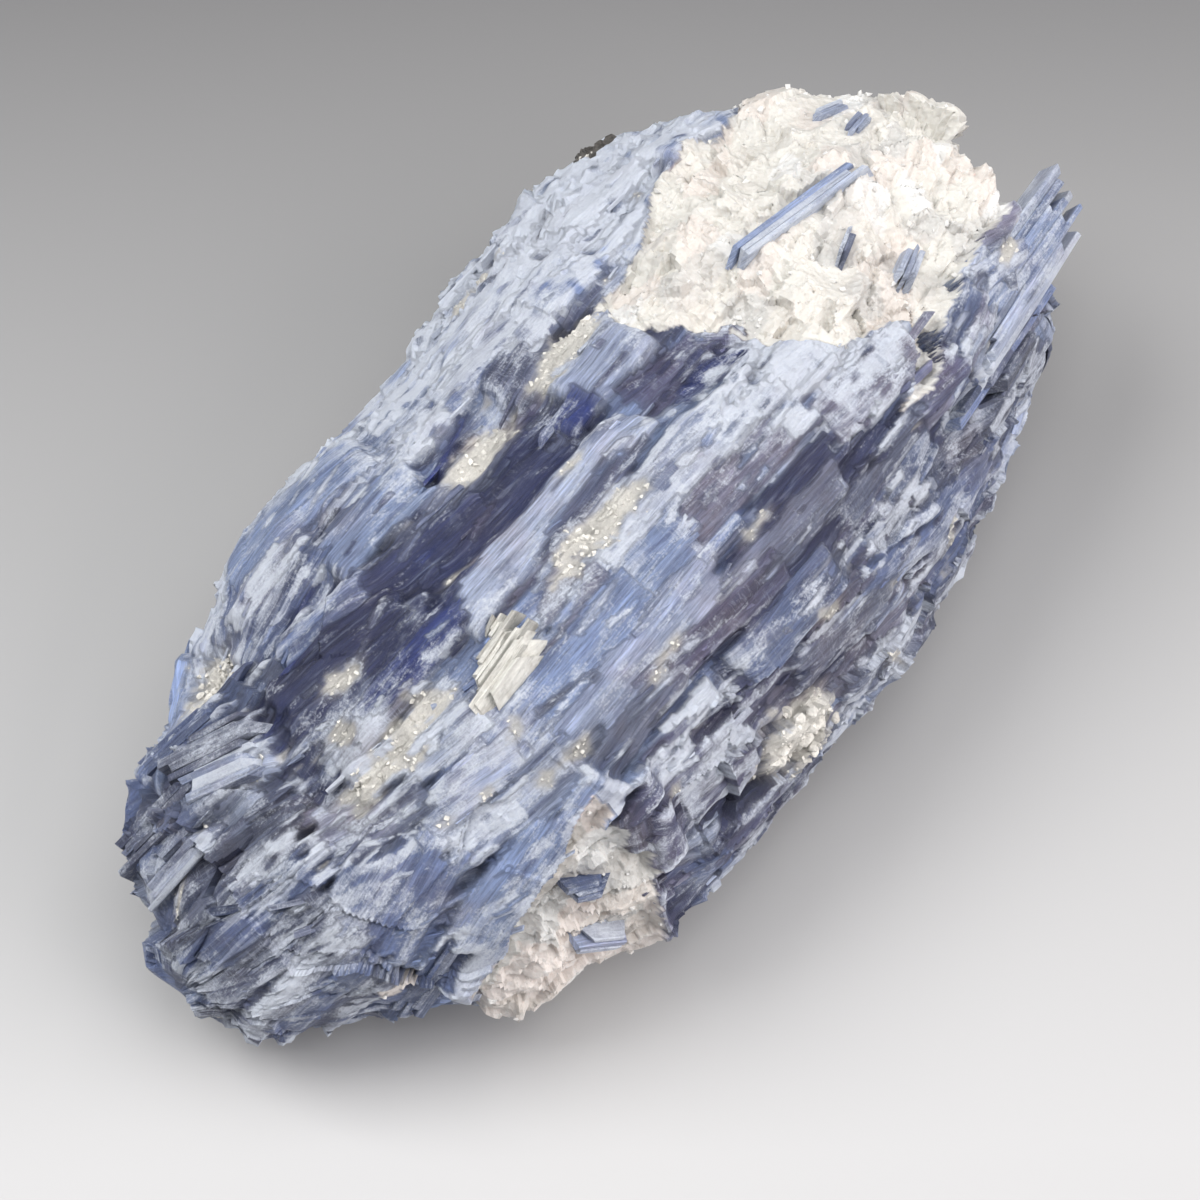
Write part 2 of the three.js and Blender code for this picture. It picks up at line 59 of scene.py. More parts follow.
# ---------- the rock's form, in millimetres: its sections are the CAD model's ----------
MM = 0.001
BACK_POWER, FRONT_POWER, FOOT_POWER = 1.8, 2.3, 1.2
FOOT_BACK, FOOT_FRONT = 0.55, 0.6
# x, foot, back reach, back level, front reach, front level, crest place, top, middle place
SECTIONS = np.array([
    [-49, 6.5, 2.5, 10, -6.5, 8, -2, 12, -2],
    [-46, 3, 7.5, 11, -10.5, 8, -3, 17, -2],
    [-40, 0, 12, 13, -16, 7.5, -4, 22, -2],
    [-30, 0, 18, 14, -24.5, 8, -5, 27, -3],
    [-20, 0, 21.5, 15, -28, 9, -5, 31, -3],
    [-10, 0, 23.5, 15, -28, 9, -5, 33, -3],
    [0, 0, 25, 15, -27.5, 10, -4, 34, -2],
    [10, 0, 26.5, 15, -26.5, 10, -4, 34.5, -1],
    [20, 0, 28, 15, -24.5, 11, -3, 34.5, 0],
    [30, 0, 28, 15, -22, 11, -3, 34, 1],
    [40, 0, 23, 15, -19, 11, -1, 32, 3],
    [49.5, 1, 15, 15, -15, 12, 3, 28.5, 6],
    [54.5, 5, 7.5, 14, -11, 12, 2, 23, 4],
])
LOW_END, LOW_ROUND = -50.4, 3.0  # where the lower end stops, and how long its rounding is
TOP_END, TOP_ROUND = 55.6, 3.6
# The bite beside the horn: x, and how far back it reaches.
BITE = np.array([[46.4, -8], [47, -4], [49.5, 2], [51, 3]])

# Where the quartz shows, seen from above.
CAP_OUTLINE = np.array([
    [10.4, 8.6], [10.8, 5], [13, 1.6], [15, -0.6], [16.6, -3.4], [18.4, -6.6], [20, -9.8], [24, -10.2],
    [28, -11.6], [25, -14.6], [22, -16.4], [25, -16.4], [31, -13.6], [36, -11], [46, -8.4], [54, -8],
    [62, 0], [62, 22], [46, 26], [37, 15], [29, 14.6], [25, 14.8], [18, 9.8],
])
CAP_OUTLINE_Z = 20.0  # the outline bounds the cap above this level
CAP_ROOT_X, CAP_ROOT_Z, CAP_ROOT_Y = 37.0, 7.0, -7.0  # and past these the whole end is quartz
POCKET_Z = 2.5
POCKET_OUTLINE = np.array([
    [-41, -16], [-37, -19.6], [-30, -20.6], [-25, -20.8], [-20.8, -20], [-19.6, -26], [-21, -34], [-42, -34],
    [-44, -17],
])

# How the blades run over the rock: x, y and heading in degrees, seen from above.
FLOW = np.array([
    [0, 0, 2], [-20, 3, 0], [15, -5, 0], [-10, -12, 3], [10, -18, 7], [-47, -4, -23], [-44, -9, -24],
    [-40, -6, -23], [-44, 7, -34], [-37, 5, -36], [-38, 12, 15], [-30, 16, 22], [-16, 20, 12], [5, 23, 8],
    [20, 22, 10], [10, 14, 5], [-15, 14, 2], [-30, -18, -6], [-20, -20, 0], [40, -14, 17], [50, -11, 18],
    [28, -19, 14], [0, -24, 6], [-38, -13, -14], [-30, -10, -12], [25, 14, 20],
])

# ---------- colours ----------
# Each style: body colour, a second colour that streaks it, and how much white frost lies on it.
STYLES = {
    "chalk": ((0.41, 0.48, 0.65), (0.22, 0.30, 0.55), 0.82),
    "pale": ((0.35, 0.40, 0.54), (0.20, 0.25, 0.42), 0.66),
    "light": ((0.23, 0.295, 0.47), (0.12, 0.175, 0.36), 0.52),
    "sky": ((0.22, 0.28, 0.45), (0.13, 0.185, 0.37), 0.44),
    "mid": ((0.13, 0.17, 0.31), (0.06, 0.09, 0.22), 0.42),
    "slate": ((0.112, 0.126, 0.19), (0.045, 0.055, 0.115), 0.44),
    "deep": ((0.030, 0.046, 0.18), (0.010, 0.018, 0.09), 0.14),
    "navy": ((0.030, 0.037, 0.10), (0.012, 0.015, 0.05), 0.16),
    "violet": ((0.10, 0.10, 0.175), (0.045, 0.045, 0.10), 0.40),
    "lilac": ((0.185, 0.18, 0.255), (0.10, 0.10, 0.16), 0.42),
}
CREAM = (0.71, 0.69, 0.645)
TAN = (0.42, 0.33, 0.24)
DUST = (0.48, 0.475, 0.48)

# Where each mixture of styles lies: x, y, half length, half width, styles. The last over a place counts.
ZONES = [
    (0, 0, 90, 90, ("mid", "slate", "light", "pale")),
    (-10, 16, 26, 7, ("light", "sky", "light", "mid", "pale")),
    (-12, 22, 30, 5, ("pale", "light", "chalk", "mid")),
    (14, 22, 12, 8, ("chalk", "pale", "light", "chalk")),
    (26, 18, 14, 9, ("chalk", "pale", "light", "chalk")),
    (38, 20, 7, 8, ("light", "sky", "light")),
    (-25, 9, 8, 5, ("light", "mid", "pale")),
    (-8, 3, 22, 6, ("navy", "slate", "deep", "violet", "navy")),
    (-24, -0.5, 9, 7, ("navy", "deep", "navy", "slate", "navy", "deep")),
    (9, -1, 7, 4, ("violet", "slate", "navy")),
    (-8, -9, 22, 5.4, ("pale", "light", "sky", "lilac")),
    (14, -8, 8, 5, ("light", "pale", "sky")),
    (-28, -11, 6, 4.4, ("pale", "chalk", "mid", "slate")),
    (-2, -12.5, 18, 3, ("light", "pale", "lilac", "sky")),
    # On the front flank the violet and lilac are partly the blue's own grey violet and partly a painted
    # reflection, a purple cast over that shaded flank.
    (5, -16.6, 26, 2.6, ("lilac", "mid", "pale", "slate")),
    (8, -22, 30, 4.0, ("violet", "slate", "pale", "mid", "lilac")),
    (-10, -26, 12, 4, ("violet", "navy", "lilac")),
    (20, -18, 12, 4, ("slate", "violet", "mid", "navy")),
    (42, -14, 14, 8, ("lilac", "mid", "pale", "light")),
    (-42, -4, 10, 14, ("slate", "mid", "slate", "pale")),
    (-40, 8, 9, 6, ("slate", "mid", "pale", "slate")),
    (-30, -18, 12, 4, ("light", "mid", "sky")),
]

# ---------- blades that can be told apart ----------
# style, from x, from y, to x, to y, width, lift, roll in degrees, kind
BLADES = [
    # light blue plates of the back flank
    ("light", -25, 16.5, -10, 15, 6.5, 0.4, 6, "plate"),
    ("chalk", -9, 17.5, 3, 17.5, 6, 0.5, 4, "plate"),
    ("pale", -2, 15.5, 14, 16.5, 5.5, 0.2, 2, "fibre"),
    ("light", 4, 12.3, 15, 13, 5, 0.8, 3, "plate"),
    ("mid", -4, 12.5, 8, 12, 4.5, 0.3, 0, "plate"),
    ("pale", -26, 18.5, -12, 20.5, 3.2, 0.4, 12, "fibre"),
    ("chalk", -12, 21, 2, 23, 3, 0.5, 12, "fibre"),
    ("pale", 1, 22.5, 13, 24, 3, 0.6, 10, "fibre"),
    ("chalk", 12, 21.5, 24, 23.5, 5, 0.3, 6, "fibre"),
    ("pale", 14, 17, 26, 17.5, 5, 0.6, 4, "fibre"),
    ("chalk", 19, 21, 30, 22, 6, 0.9, 0, "fibre"),
    ("light", 26, 15.5, 37, 17, 4, 0.8, 8, "plate"),
    # the dark middle
    ("pale", 1.8, 3.2, 10.8, 4.2, 5.2, 2.0, -4, "gem"),
    ("deep", -0.6, 1.8, 3.4, 2.4, 3.0, 1.5, -8, "gem"),
    ("navy", -17, 1.2, -0.6, 1.4, 4.6, 0.1, -8, "fibre"),
    ("navy", -26, 4.2, -9, 2.8, 3.6, 0, 4, "long"),
    ("slate", -13, 5, -2, 6.5, 3, 0.2, 8, "fibre"),
    ("slate", -1.5, 8, 5, 9.6, 5, 0.4, 14, "fibre"),
    ("violet", 4, -1, 14, -1.6, 4, 0.2, 4, "fibre"),
    ("deep", 7, -3.6, 16, -4.6, 3, -0.2, -10, "fibre"),
    ("light", -21, 8.6, -10, 8.8, 4.6, 0.3, 4, "plate"),
    ("mid", -29, 7, -20, 4.6, 3.6, 0.4, 8, "fibre"),
    ("navy", -33, -0.2, -18, -2.2, 4.4, 0.6, -4, "long"),
    ("deep", -29, -3.2, -17, -4.6, 3, 0.3, -8, "fibre"),
    ("navy", -32, 3.6, -19, 1.2, 4, 0.6, 6, "long"),
    ("mid", -31, 10.2, -19, 11.6, 4.4, 0.6, 8, "fibre"),
    ("pale", -29, 13.6, -20, 13.2, 3, 0.9, 10, "fibre"),
    ("violet", 14, 0.6, 17, -3, 3, -0.2, 0, "fibre"),
    # the pale blades of the middle
    ("pale", -19, -4.6, 5, -2.4, 4.4, 1.1, -6, "long"),
    ("slate", -11, -6.2, 3, -4.4, 2.4, 0.3, -12, "fibre"),
    ("pale", -8, -9, 14, -8.2, 6, 0.8, -4, "long"),
    ("light", -24, -14, 4, -12.4, 5, 0.7, -4, "long"),
    ("light", -7, -12.6, 1, -12, 4, 1.0, -6, "plate"),
    ("lilac", -1, -12.2, 15, -11.6, 3.4, 0.4, 0, "long"),
    ("pale", 11, -11.8, 19.5, -11.2, 2.6, 1.2, -8, "plate"),
    ("pale", -20, -17, 0, -15.4, 4, 0.6, -4, "fibre"),
    ("chalk", -33, -6.2, -26, -7.8, 3, 1.2, 4, "fibre"),
    ("pale", -31, -8.4, -22, -10.6, 3, 0.8, -4, "fibre"),
    ("pale", -31, -12, -22, -14.6, 4, 0.8, 2, "plate"),
    ("chalk", 13, -8.6, 19, -8.2, 3.6, 0.3, 0, "fibre"),
    # the lilac front ridge
    ("navy", 1, -15.8, 16, -14.8, 3, 0.6, 4, "fibre"),
    ("slate", -3, -18, 13, -17, 3.4, 0.8, -4, "long"),
    ("violet", -13, -18.6, 4, -18.6, 3, 0.5, 0, "long"),
    ("slate", -23, -19.6, -9, -19, 3, 0.6, 4, "fibre"),
    ("lilac", 14, -13.6, 27, -13, 5, 0.4, -6, "plate"),
    ("slate", 9, -19.6, 23, -17.6, 3, 0.4, 6, "fibre"),
    ("violet", 22, -16.4, 30, -16, 3.4, 0.3, 0, "fibre"),
    # beside and below the horn
    ("lilac", 38, -9.4, 48, -9, 2.4, 0.6, 0, "fibre"),
    ("mid", 36, -12.4, 48, -11, 2.4, 0.5, -4, "fibre"),
    ("slate", 22, -21.4, 40, -18.6, 3, 0.4, 6, "long"),
    ("mid", 9, -23.4, 33, -20.6, 4, 0.4, 4, "long"),
    ("slate", 14, -24.2, 33, -21.8, 3, 0.2, 8, "fibre"),
    # the front flank
    ("mid", -5, -22, 8, -21.2, 4, 0.5, 4, "plate"),
    ("slate", -1, -24.6, 13, -24.2, 4, 0.5, 8, "fibre"),
    ("violet", -18, -25, -6, -25.6, 6.5, 0.7, 4, "plate"),
    ("pale", -17, -22.4, -11, -23, 3, 0.9, 10, "fibre"),
    ("chalk", -13, -21.6, -7, -21.6, 2.2, 1.0, -8, "plate"),
    ("violet", -16.6, -20.6, -19.4, -28, 3, 1.3, 20, "fibre"),
    ("lilac", -19.4, -22.6, -22, -28, 2.6, 0.8, -10, "fibre"),
    ("slate", 4, -26.3, 18, -25, 4, 0.3, 2, "fibre"),
    ("mid", 16, -25, 31, -21.6, 4, 0.3, 2, "fibre"),
    ("slate", 29, -21.4, 44, -17, 4, 0.3, 4, "fibre"),
    ("violet", -14, -27.6, -3, -27.4, 4, 0.2, 0, "fibre"),
    ("slate", 6, -26.4, 26, -23.4, 3, 0, 12, "fibre"),
    # the bright blade and its neighbours at the lower end
    ("light", -36.5, -18.4, -19, -19.7, 5.6, 3.2, -8, "plate"),
    ("pale", -31, -15.6, -20, -17.6, 3.4, 1.2, -12, "plate"),
    ("mid", -41, -14, -30, -14.4, 4.6, 1.4, 0, "long"),
    ("mid", -42, -11, -32, -11.2, 4, 1.1, 6, "long"),
    ("slate", -36, -8.6, -29, -11, 3, 0.9, 10, "fibre"),
    ("mid", -40, -16.6, -34, -18.4, 3, 0.8, 0, "fibre"),
    # the fanned plate of the lower end
    ("slate", -46.5, 1.8, -36.5, -2.6, 3, 1.1, 8, "fan"),
    ("slate", -49, -0.4, -36, -5.4, 3, 1.5, 6, "fan"),
    ("mid", -50, -2.8, -37, -7.8, 3, 1.7, 4, "fan"),
    ("slate", -50, -5.2, -38.5, -10, 3, 1.6, 2, "fan"),
    ("slate", -49, -7.6, -38.5, -12.2, 3, 1.4, 0, "fan"),
    ("mid", -47.4, -9.8, -39, -13.8, 3, 1.2, 0, "fan"),
    ("slate", -45, -12.2, -38, -15.4, 3, 1, -4, "fan"),
    # the splintered left cluster, which stands over the fanned plate
    ("slate", -46.5, 8.2, -38, 4.2, 2.6, 2.2, 6, "fibre"),
    ("mid", -46.5, 6, -37, 2.2, 2.2, 1.6, -8, "fibre"),
    ("pale", -47.6, 4, -41, 1.4, 2, 1.2, 10, "fibre"),
    ("mid", -40.5, 11.4, -33, 7.4, 2.6, 1.8, 6, "fibre"),
    ("slate", -40, 8.6, -32.6, 3, 3, 2.2, 0, "fibre"),
    ("pale", -40.4, 5.6, -34, 0.6, 3, 2, -4, "fibre"),
    ("light", -36, 13.4, -30, 17.2, 2.4, 1.2, 20, "fibre"),
    ("pale", -30.5, 16.2, -24, 18.2, 2.6, 1.0, 16, "fibre"),
]

# The horn: style, from x, y, z, to x, y, z, width, roll in degrees.
HORN_BLADES = [
    ("light", 27, -16, 30, 55.2, -9.8, 25.4, 4.4, 30),
    ("pale", 30, -17.6, 28.4, 53.8, -11.4, 23.4, 3.6, 42),
    ("mid", 26, -19, 27, 46.8, -13.9, 22.4, 3, 46),
    ("slate", 31, -19.4, 25, 42, -16, 20.8, 3, 52),
]

# How each kind of blade is made up: lath width, height spread, how ragged its ends are as a share of its
# length, how long its pieces are between cross partings, and how much a lath's tone strays.
KINDS = {
    "plate": (1.9, 0.05, 0.06, 11.0, 0.10),
    "long": (1.1, 0.06, 0.12, 12.0, 0.14),
    "fibre": (0.7, 0.11, 0.20, 10.0, 0.26),
    "fan": (0.55, 0.13, 0.12, 10.0, 0.34),
    "gem": (2.4, 0.04, 0.02, 1.7, 0.20),
    "slab": (4.0, 0.05, 0.07, 15.0, 0.10),
    "splinter": (0.6, 0.03, 0.3, 9.0, 0.12),
    "crystal": (0.5, 0.07, 0.14, 12.0, 0.30),
}

# ---------- small helpers ----------
def hashed(a, b, seed):
    """A number from -1 to 1 for each pair of whole numbers."""
    n = (a.astype(np.int64) * 374761393 + b.astype(np.int64) * 668265263 + seed * 974634777) & 0xFFFFFFFF
    n = ((n ^ (n >> 13)) * 1274126177) & 0xFFFFFFFF
    return ((n ^ (n >> 16)) & 0xFFFF) / 32767.5 - 1


def smooth_noise(u, v, seed, wrap=None):
    """Smooth noise from -1 to 1 on a unit lattice, which may close on itself in v."""
    iu, iv = np.floor(u), np.floor(v)
    fu, fv = u - iu, v - iv
    fu, fv = fu * fu * (3 - 2 * fu), fv * fv * (3 - 2 * fv)
    turn = (lambda b: b % wrap) if wrap else (lambda b: b)
    low = hashed(iu, turn(iv), seed) * (1 - fu) + hashed(iu + 1, turn(iv), seed) * fu
    high = hashed(iu, turn(iv + 1), seed) * (1 - fu) + hashed(iu + 1, turn(iv + 1), seed) * fu
    return low * (1 - fv) + high * fv


def facets(u, v, size, rise, tilt, seed, cliffs=False):
    """Heights of a surface broken into flat faces. Each cell has its own plane: the highest one shows, or
    with cliffs the nearest cell's one."""
    u, v = u / size, v / size
    nearest = np.full(u.shape, 9.0)
    height = np.full(u.shape, -9.0)
    for du in (-1, 0, 1):
        for dv in (-1, 0, 1):
            cu, cv = np.floor(u) + du, np.floor(v) + dv
            pu = u - (cu + 0.5 + 0.45 * hashed(cu, cv, seed))
            pv = v - (cv + 0.5 + 0.45 * hashed(cu, cv, seed + 1))
            far = pu * pu + pv * pv
            own = rise * hashed(cu, cv, seed + 2)
            own = own + size * tilt * (pu * hashed(cu, cv, seed + 3) + pv * hashed(cu, cv, seed + 4))
            if cliffs:
                height = np.where(far < nearest, own, height)
                nearest = np.minimum(far, nearest)
            else:
                height = np.maximum(height, own - 1.3 * rise * far)
    return height


def unit(v):
    return v / np.maximum(np.linalg.norm(v, axis=-1, keepdims=True), 1e-9)


def inside(outline, x, y):
    """Which places lie inside a plan outline."""
    held = np.zeros(np.shape(x), bool)
    for (ax, ay), (bx, by) in zip(outline, np.roll(outline, -1, axis=0)):
        crosses = (ay > y) != (by > y)
        at = ax + (y - ay) * (bx - ax) / np.where(by == ay, 1e-9, by - ay)
        held ^= crosses & (x < at)
    return held


def section(x, column):
    return np.interp(x, SECTIONS[:, 0], SECTIONS[:, column])


def surface_height(x, y):
    """Level of the rock's nominal upper surface."""
    crest, top = section(x, 6), section(x, 7)
    back, back_z = section(x, 2), section(x, 3)
    front, front_z = section(x, 4), section(x, 5)
    u = np.clip((y - crest) / (back - crest), 0, 1)
    v = np.clip((crest - y) / (crest - front), 0, 1)
    behind = back_z + (top - back_z) * (1 - u**BACK_POWER) ** (1 / BACK_POWER)
    before = front_z + (top - front_z) * (1 - v**FRONT_POWER) ** (1 / FRONT_POWER)
    return np.where(y >= crest, behind, before)


def section_curve(x):
    """The whole section at x as points (y, z), once round from the back over the top."""
    foot, back, back_z, front, front_z, crest, top = (section(x, k) for k in range(1, 8))
    a = np.linspace(0, math.pi / 2, 60, endpoint=False)
    up, down = np.sin(a), np.cos(a)
    arcs = [
        (
            crest + (back - crest) * down ** (2 / BACK_POWER),
            back_z + (top - back_z) * up ** (2 / BACK_POWER),
        ),
        (
            crest + (front - crest) * up ** (2 / FRONT_POWER),
            front_z + (top - front_z) * down ** (2 / FRONT_POWER),
        ),
        (
            front * FOOT_FRONT + front * (1 - FOOT_FRONT) * down ** (2 / FOOT_POWER),
            front_z + (foot - front_z) * up ** (2 / FOOT_POWER),
        ),
    ]
    slide = np.linspace(0, 1, 30, endpoint=False)
    foot_front, foot_back = front * FOOT_FRONT, back * FOOT_BACK
    arcs.append((foot_front + (foot_back - foot_front) * slide, np.full(30, foot)))
    arcs.append((
        foot_back + back * (1 - FOOT_BACK) * up ** (2 / FOOT_POWER),
        back_z + (foot - back_z) * down ** (2 / FOOT_POWER),
    ))
    return np.concatenate([np.stack(arc, -1) for arc in arcs])


# ---------- the rock's nominal surface as a radius round its middle line ----------
TABLE_STEP = 0.5
TABLE_AROUND = 480
TABLE_X = np.arange(LOW_END, TOP_END + TABLE_STEP / 2, TABLE_STEP)
TABLE_A = np.linspace(0, 2 * math.pi, TABLE_AROUND, endpoint=False)
TURN = 2 * math.pi
MIDDLE_SHARE = 0.38  # how far up the rock its middle line runs, as a share of its height


def middle(x):
    """Where the rock's middle line runs at x, as y and z."""
    foot, top = section(x, 1), section(x, 7)
    return section(x, 8), foot + MIDDLE_SHARE * (top - foot)


def make_radii():
    radii = np.zeros((len(TABLE_X), TABLE_AROUND))
    for i, x in enumerate(TABLE_X):
        curve = section_curve(x)
        my, mz = middle(x)
        angle = np.arctan2(curve[:, 1] - mz, curve[:, 0] - my) % TURN
        reach = np.hypot(curve[:, 0] - my, curve[:, 1] - mz)
        order = np.argsort(angle)
        radii[i] = np.interp(TABLE_A, angle[order], reach[order], period=TURN)
        if x > BITE[0, 0]:
            to_bite = my - np.interp(x, BITE[:, 0], BITE[:, 1])
            facing = np.maximum(-np.cos(TABLE_A), 1e-3)
            limit = np.where((np.cos(TABLE_A) < -0.02) & (np.sin(TABLE_A) > -0.35), to_bite / facing, 1e3)
            radii[i] = np.minimum(radii[i], np.maximum(limit, 0.6))
    low = np.clip((TABLE_X - LOW_END) / LOW_ROUND, 0, 1)
    high = np.clip((TOP_END - TABLE_X) / TOP_ROUND, 0, 1)
    rounding = np.sqrt(1 - (1 - np.minimum(low, high)) ** 2)
    return radii * np.maximum(rounding, 0.01)[:, None]


RADII = make_radii()


def look_up(x, angle):
    """The nominal radius for any x and angle."""
    u = np.clip((x - LOW_END) / TABLE_STEP, 0, len(TABLE_X) - 1.001)
    v = (angle / TURN) % 1.0 * TABLE_AROUND
    i, j = u.astype(int), v.astype(int) % TABLE_AROUND
    fu, fv = u - i, v - np.floor(v)
    k = (j + 1) % TABLE_AROUND
    near = RADII[i, j] * (1 - fv) + RADII[i, k] * fv
    far = RADII[i + 1, j] * (1 - fv) + RADII[i + 1, k] * fv
    return near * (1 - fu) + far * fu


def place(x, angle, lift):
    """Points at these places on the rock, raised away from its middle line by lift."""
    my, mz = middle(x)
    reach = look_up(x, angle) + lift
    return np.stack([x, my + reach * np.cos(angle), mz + reach * np.sin(angle)], -1)


def tangents(x, angle):
    """Unit vectors along the rock and round it at these places, and the outward normal."""
    along = unit(place(x + 0.8, angle, 0) - place(x - 0.8, angle, 0))
    round_ = unit(place(x, angle + 0.04, 0) - place(x, angle - 0.04, 0))
    out = unit(np.cross(round_, along))
    return along, unit(np.cross(along, out)), out


def polar(points):
    """x, angle and reach of points round the middle line."""
    my, mz = middle(points[..., 0])
    dy, dz = points[..., 1] - my, points[..., 2] - mz
    return points[..., 0], np.arctan2(dz, dy) % TURN, np.hypot(dy, dz)


def on_surface(x, y):
    """A point of the nominal upper surface."""
    return np.array([x, y, float(surface_height(np.float64(x), np.float64(y)))])


# ---------- the relief ----------
# The surface is a chart, x along the rock and angle round it, with a height for each of its points. Plates
# are laid on it one by one, each flat in space, and whatever stands highest is what shows.
CHART_STEP, UNDER_STEP = 0.23, 0.75  # spacing in mm on the top and the front, and underneath
FINE_FROM, FINE_TO = math.radians(8), math.radians(208)
MOST_PROUD = 2.2  # the most that a named blade stands over the nominal surface
STREWN_PROUD, UNDER_PROUD = 0.7, 0.4  # and the most for a strewn one, and for anything underneath
POLE_REACH = 2.5  # the relief fades where the rock's radius is less than this


def chart_angles():
    angle = np.linspace(0, TURN, 6001)
    points = place(np.zeros(angle.size), angle, 0)
    steps = np.linalg.norm(np.diff(points, axis=0), axis=1)
    fine = (angle[:-1] > FINE_FROM) & (angle[:-1] < FINE_TO)
    count = np.concatenate([[0], np.cumsum(steps / np.where(fine, CHART_STEP * 0.95, UNDER_STEP))])
    return np.interp(np.arange(int(count[-1])) * count[-1] / int(count[-1]), count, angle)


class Relief:
    """Where each point of the chart lies, which way it faces, its height, and what its surface is like."""

    def __init__(self):
        self.x = np.arange(LOW_END, TOP_END, CHART_STEP)
        self.angle = chart_angles()
        gx, ga = np.meshgrid(self.x, self.angle, indexing="ij")
        shape = gx.shape + (3,)
        self.at = place(gx.ravel(), ga.ravel(), 0).reshape(shape)
        self.out = tangents(gx.ravel(), ga.ravel())[2].reshape(shape)
        self.across = np.broadcast_to(np.arange(len(self.angle)) * CHART_STEP, gx.shape)
        rise = terrace(self.at) * np.clip(4 * self.out[..., 2] + 3, 0, 1)
        self.at = self.at + self.out * rise[..., None]
        self.height = -1.1 + 0.5 * smooth_noise(gx / 4, self.at[..., 1] / 3 + self.at[..., 2] / 2, 1)
        # Where no plate lies the tint is dark navy: partly the blue's own colour, partly painted shade in the
        # gaps between plates.
        self.tint = np.zeros(shape) + np.array([0.05, 0.06, 0.12])
        self.frost = np.full(gx.shape, 0.3)
        self.grit = np.zeros(gx.shape)
        self.grain = self.at.copy()
        self.kind = np.zeros(gx.shape, int)
        self.beds = {}
        self.reach = look_up(gx, ga)

    def block(self, corners, margin=0.4):
        """The rows and columns of the chart that these corners span."""
        x, angle, reach = polar(corners)
        rows = np.arange(*np.searchsorted(self.x, [x.min() - margin, x.max() + margin]))
        turn = (angle - angle[0] + math.pi) % TURN - math.pi
        spare = margin / max(reach.min(), 2)
        past = (self.angle - angle[0] - turn.min() + spare) % TURN
        cols = np.flatnonzero(past <= np.ptp(turn) + 2 * spare)
        return np.ix_(rows, cols) if len(rows) and len(cols) else None

    def lay(
        self, centre, along, out, length, width, lift, kind, tint, frost, seed, follow=0.2, on_top=False,
        over_all=False,
    ):
        """Lays one plate of parallel laths with ragged ends. With over_all it shows wherever it lies."""
        lath, spread, ragged, parting, stray = KINDS[kind]
        across = unit(np.cross(out, along))
        along = np.cross(across, out)
        sides = [(a, b) for a in (-0.5, 0, 0.5) for b in (-0.5, 0.5)]
        corners = np.array([centre] + [centre + along * length * a + across * width * b for a, b in sides])
        block = self.block(corners)
        if block is None:
            return
        rel = self.at[block] - centre
        u, v, w = rel @ along, rel @ across, rel @ out
        facing = self.out[block] @ out
        lane = np.floor((v + 0.4 * lath * smooth_noise(u / 3.5, v * 0, seed)) / lath)
        half = width * (0.5 + 0.08 * smooth_noise(u / 2.6, np.sign(v), seed + 1))
        reach = length * (0.5 - ragged * (0.5 + 0.5 * hashed(lane, np.sign(u), seed + 2)) ** 2)
        held = (np.abs(v) < half) & (np.abs(u) < reach) & (facing > 0.25) & (np.abs(w) < 4.5)
        if held.sum() < 2:
            return
        step = np.floor(u / parting + 2 * hashed(lane, lane * 0, seed + 3))
        level = lift + spread * (hashed(lane, lane * 0, seed + 4) + 0.5 * hashed(lane, step, seed + 5))
        level = level - 0.05 * width * (v / half) ** 4
        if on_top:
            stand = w + self.height[block] * facing
            height = (level + np.quantile(stand[held], 0.6) - w) / np.maximum(facing, 0.6)
        else:
            height = (level + (1 - follow) * (np.quantile(w[held], 0.6) - w)) / np.maximum(facing, 0.6)
        height = np.minimum(height, MOST_PROUD if over_all or on_top else STREWN_PROUD)
        held &= over_all | (height > self.height[block])
        rows, cols = np.broadcast_arrays(*block)
        rows, cols = rows[held], cols[held]
        self.height[rows, cols] = height[held]
        tone = np.exp(stray * (hashed(lane, lane * 0, seed + 6) + 0.6 * hashed(lane, step, seed + 7)))[held]
        self.tint[rows, cols] = tint * tone[:, None]
        self.frost[rows, cols] = frost * (1 + 0.5 * hashed(lane, step, seed + 8)[held])
        mark = (seed * 7.31) % 97
        self.grain[rows, cols] = np.stack([u[held], v[held], np.full(len(rows), mark)], -1)
        self.grit[rows, cols] = 0

    def surface(self, x, angle):
        """The finished surface at the nearest points of the chart: place, normal and cell."""
        i = np.clip(np.searchsorted(self.x, x), 1, len(self.x) - 2)
        j = np.clip(np.searchsorted(self.angle, angle % TURN), 0, len(self.angle) - 1)
        return self.at[i, j] + self.out[i, j] * self.height[i, j][:, None], self.out[i, j], (i, j)

    def near_line(self, x0, y0, x1, y1):
        """Distance of every point from a line on the upper surface."""
        start, end = on_surface(x0, y0), on_surface(x1, y1)
        way = end - start
        share = np.clip((self.at - start) @ way / (way @ way), 0, 1)
        return np.linalg.norm(self.at - start - share[..., None] * way, axis=-1)


def in_cap(x, y, z):
    root = (x > CAP_ROOT_X + 2.5 * np.sin(z)) & (y > CAP_ROOT_Y) & (z > CAP_ROOT_Z)
    return (inside(CAP_OUTLINE, x, y) & (z > CAP_OUTLINE_Z)) | root


def in_pocket(x, y, z):
    return inside(POCKET_OUTLINE, x, y) & (z > POCKET_Z)


def heading(x, y):
    """The blades' heading at a place, in radians."""
    far = (x[..., None] - FLOW[:, 0]) ** 2 + (y[..., None] - FLOW[:, 1]) ** 2
    weight = 1 / (far + 4) ** 1.5
    return np.radians((weight * FLOW[:, 2]).sum(-1) / weight.sum(-1))


def run_of(at, out, stray):
    """The direction in which the blades run over the surface at these places."""
    turn = heading(at[:, 0], at[:, 1]) * np.where(out[:, 2] > -0.2, 1, 0.3) + stray
    way = np.stack([np.cos(turn), np.sin(turn), 0 * turn], -1)
    return unit(way - (way * out).sum(-1, keepdims=True) * out)


